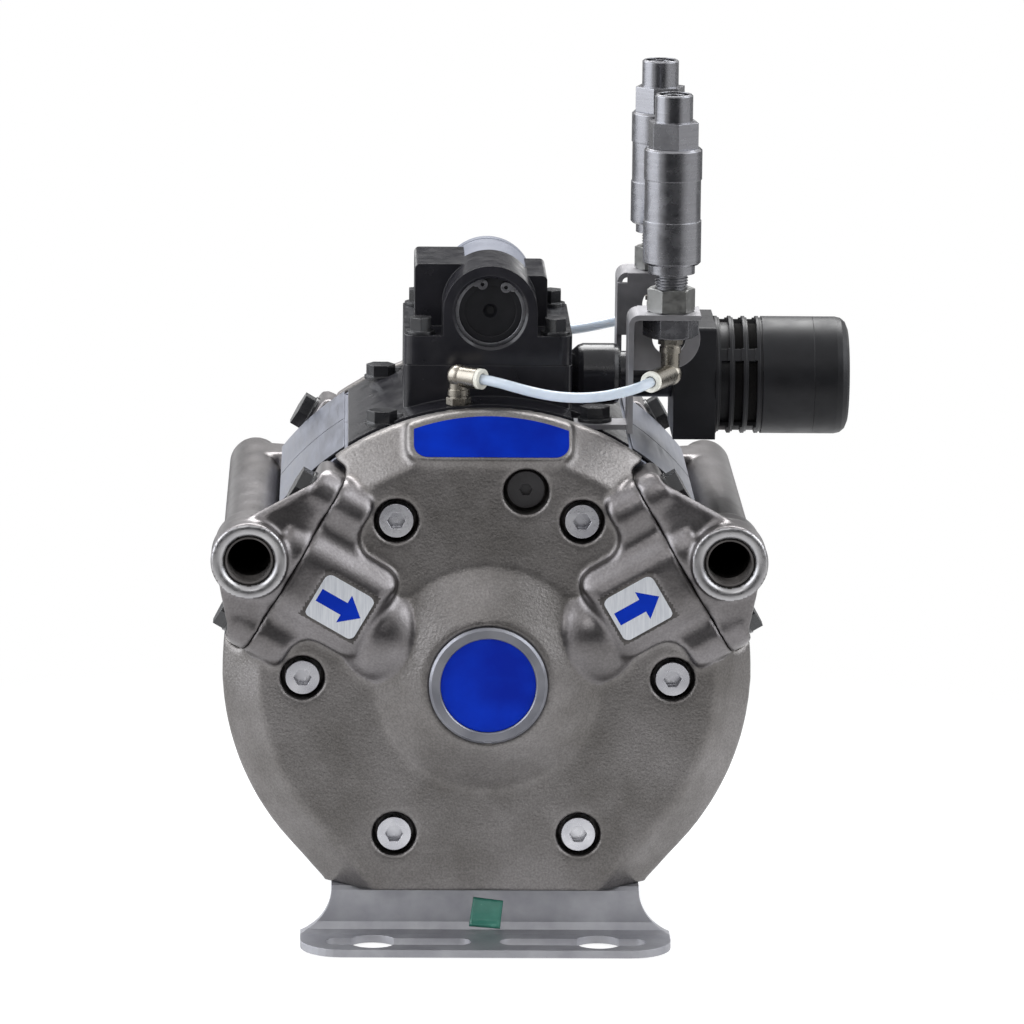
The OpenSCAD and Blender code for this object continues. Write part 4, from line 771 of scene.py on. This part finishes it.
def make_floor():
    """Keeps the shadow near the pump and fades to plain white further out."""
    bpy.ops.mesh.primitive_plane_add(size=FLOOR_SIZE, location=(0, 0, -FLOOR_DROP))
    floor = bpy.context.object
    floor.name = "floor"
    mat = bpy.data.materials.new("floor")
    mat.use_nodes = True
    tree = mat.node_tree
    plain = tree.nodes["Principled BSDF"]
    plain.inputs["Base Color"].default_value = (0.9, 0.9, 0.9, 1)
    plain.inputs["Roughness"].default_value = 0.9
    glow = tree.nodes.new("ShaderNodeEmission")
    glow.inputs["Strength"].default_value = FLOOR_GLOW
    shade = tree.nodes.new("ShaderNodeBsdfDiffuse")
    shade.inputs["Color"].default_value = FLOOR_SHADE
    both = tree.nodes.new("ShaderNodeAddShader")
    tree.links.new(glow.outputs["Emission"], both.inputs[0])
    tree.links.new(shade.outputs["BSDF"], both.inputs[1])
    white = tree.nodes.new("ShaderNodeEmission")
    white.inputs["Strength"].default_value = WHITE
    place = tree.nodes.new("ShaderNodeNewGeometry")
    away = tree.nodes.new("ShaderNodeVectorMath")
    away.operation = "LENGTH"
    tree.links.new(place.outputs["Position"], away.inputs[0])
    fade = tree.nodes.new("ShaderNodeMapRange")
    fade.interpolation_type = "SMOOTHSTEP"
    fade.inputs["From Min"].default_value = FADE_FROM
    fade.inputs["From Max"].default_value = FADE_TO
    tree.links.new(away.outputs["Value"], fade.inputs["Value"])
    ground = tree.nodes.new("ShaderNodeMixShader")
    tree.links.new(fade.outputs["Result"], ground.inputs["Fac"])
    tree.links.new(both.outputs["Shader"], ground.inputs[1])
    tree.links.new(white.outputs["Emission"], ground.inputs[2])
    mix = tree.nodes.new("ShaderNodeMixShader")
    tree.links.new(seen_directly(tree), mix.inputs["Fac"])
    tree.links.new(plain.outputs["BSDF"], mix.inputs[1])
    tree.links.new(ground.outputs["Shader"], mix.inputs[2])
    tree.links.new(mix.outputs["Shader"], tree.nodes["Material Output"].inputs["Surface"])
    floor.data.materials.append(mat)


def make_world():
    world = bpy.data.worlds.new("studio")
    scene.world = world
    world.use_nodes = True
    tree = world.node_tree
    room = tree.nodes["Background"]
    room.inputs["Color"].default_value = (0.9, 0.93, 1.0, 1)
    room.inputs["Strength"].default_value = ROOM_LIGHT
    white = tree.nodes.new("ShaderNodeBackground")
    white.inputs["Color"].default_value = (1, 1, 1, 1)
    white.inputs["Strength"].default_value = WHITE
    mix = tree.nodes.new("ShaderNodeMixShader")
    tree.links.new(seen_directly(tree), mix.inputs["Fac"])
    tree.links.new(room.outputs["Background"], mix.inputs[1])
    tree.links.new(white.outputs["Background"], mix.inputs[2])
    tree.links.new(mix.outputs["Shader"], tree.nodes["World Output"].inputs["Surface"])


def dark_card(name, place, turn, width, height, glow=0.0):
    """A dark studio card that only mirrors see."""
    bpy.ops.mesh.primitive_plane_add(size=1, location=place, rotation=turn)
    card = bpy.context.object
    card.name = name
    card.scale = (width, height, 1)
    mat = bpy.data.materials.new(name)
    mat.use_nodes = True
    shader = mat.node_tree.nodes["Principled BSDF"]
    shader.inputs["Base Color"].default_value = (0.01, 0.01, 0.012, 1)
    shader.inputs["Roughness"].default_value = 1.0
    shader.inputs["Emission Color"].default_value = (1, 1, 1, 1)
    shader.inputs["Emission Strength"].default_value = glow
    card.data.materials.append(mat)
    card.visible_camera = False
    card.visible_diffuse = False
    card.visible_shadow = False


def softbox(name, place, aim, width, height, power, colour=(1, 1, 1)):
    light = bpy.data.lights.new(name, "AREA")
    light.shape = "RECTANGLE"
    light.size = width
    light.size_y = height
    light.energy = power
    light.color = colour
    obj = link(bpy.data.objects.new(name, light))
    obj.location = place
    obj.rotation_euler = (Vector(aim) - Vector(place)).to_track_quat("-Z", "Y").to_euler()


make_floor()
make_world()
LYING = (0, 0, 0)
ACROSS = (math.pi / 2, 0, 0)
ALONG = (math.pi / 2, 0, math.pi / 2)
dark_card("card_front", (0, -3.6, 1.5), ACROSS, 5.0, 3.0)
dark_card("card_low", (0, -2.1, 0.002), LYING, 3.2, 2.6)
dark_card("card_low_back", (0, 1.4, 0.002), LYING, 4.4, 1.8, 0.1)
dark_card("card_back", (0, 2.6, 0.75), ACROSS, 3.0, 0.75, 0.05)
dark_card("card_left", (-3.2, 0, 0.5), ALONG, 4.0, 1.1, 0.1)
dark_card("card_right", (3.2, 0, 0.5), ALONG, 4.0, 1.1, 0.1)
# Large softboxes of little power each, so that no metal side mirrors one as pure white
softbox("left", (-2.1, 0.05, 0.95), (0, 0, 0.14), 3.0, 2.6, 86, (0.92, 0.95, 1.0))
softbox("right", (1.9, -0.25, 1.3), (0, 0, 0.14), 2.3, 2.0, 42, (0.93, 0.96, 1.0))
softbox("top_back", (0, 1.5, 2.0), (0, 0, 0.15), 2.4, 1.3, 82)
softbox("front", (-0.5, -2.8, 1.9), (0, 0, 0.12), 1.2, 0.8, 11)

scene.view_settings.view_transform = "Standard"
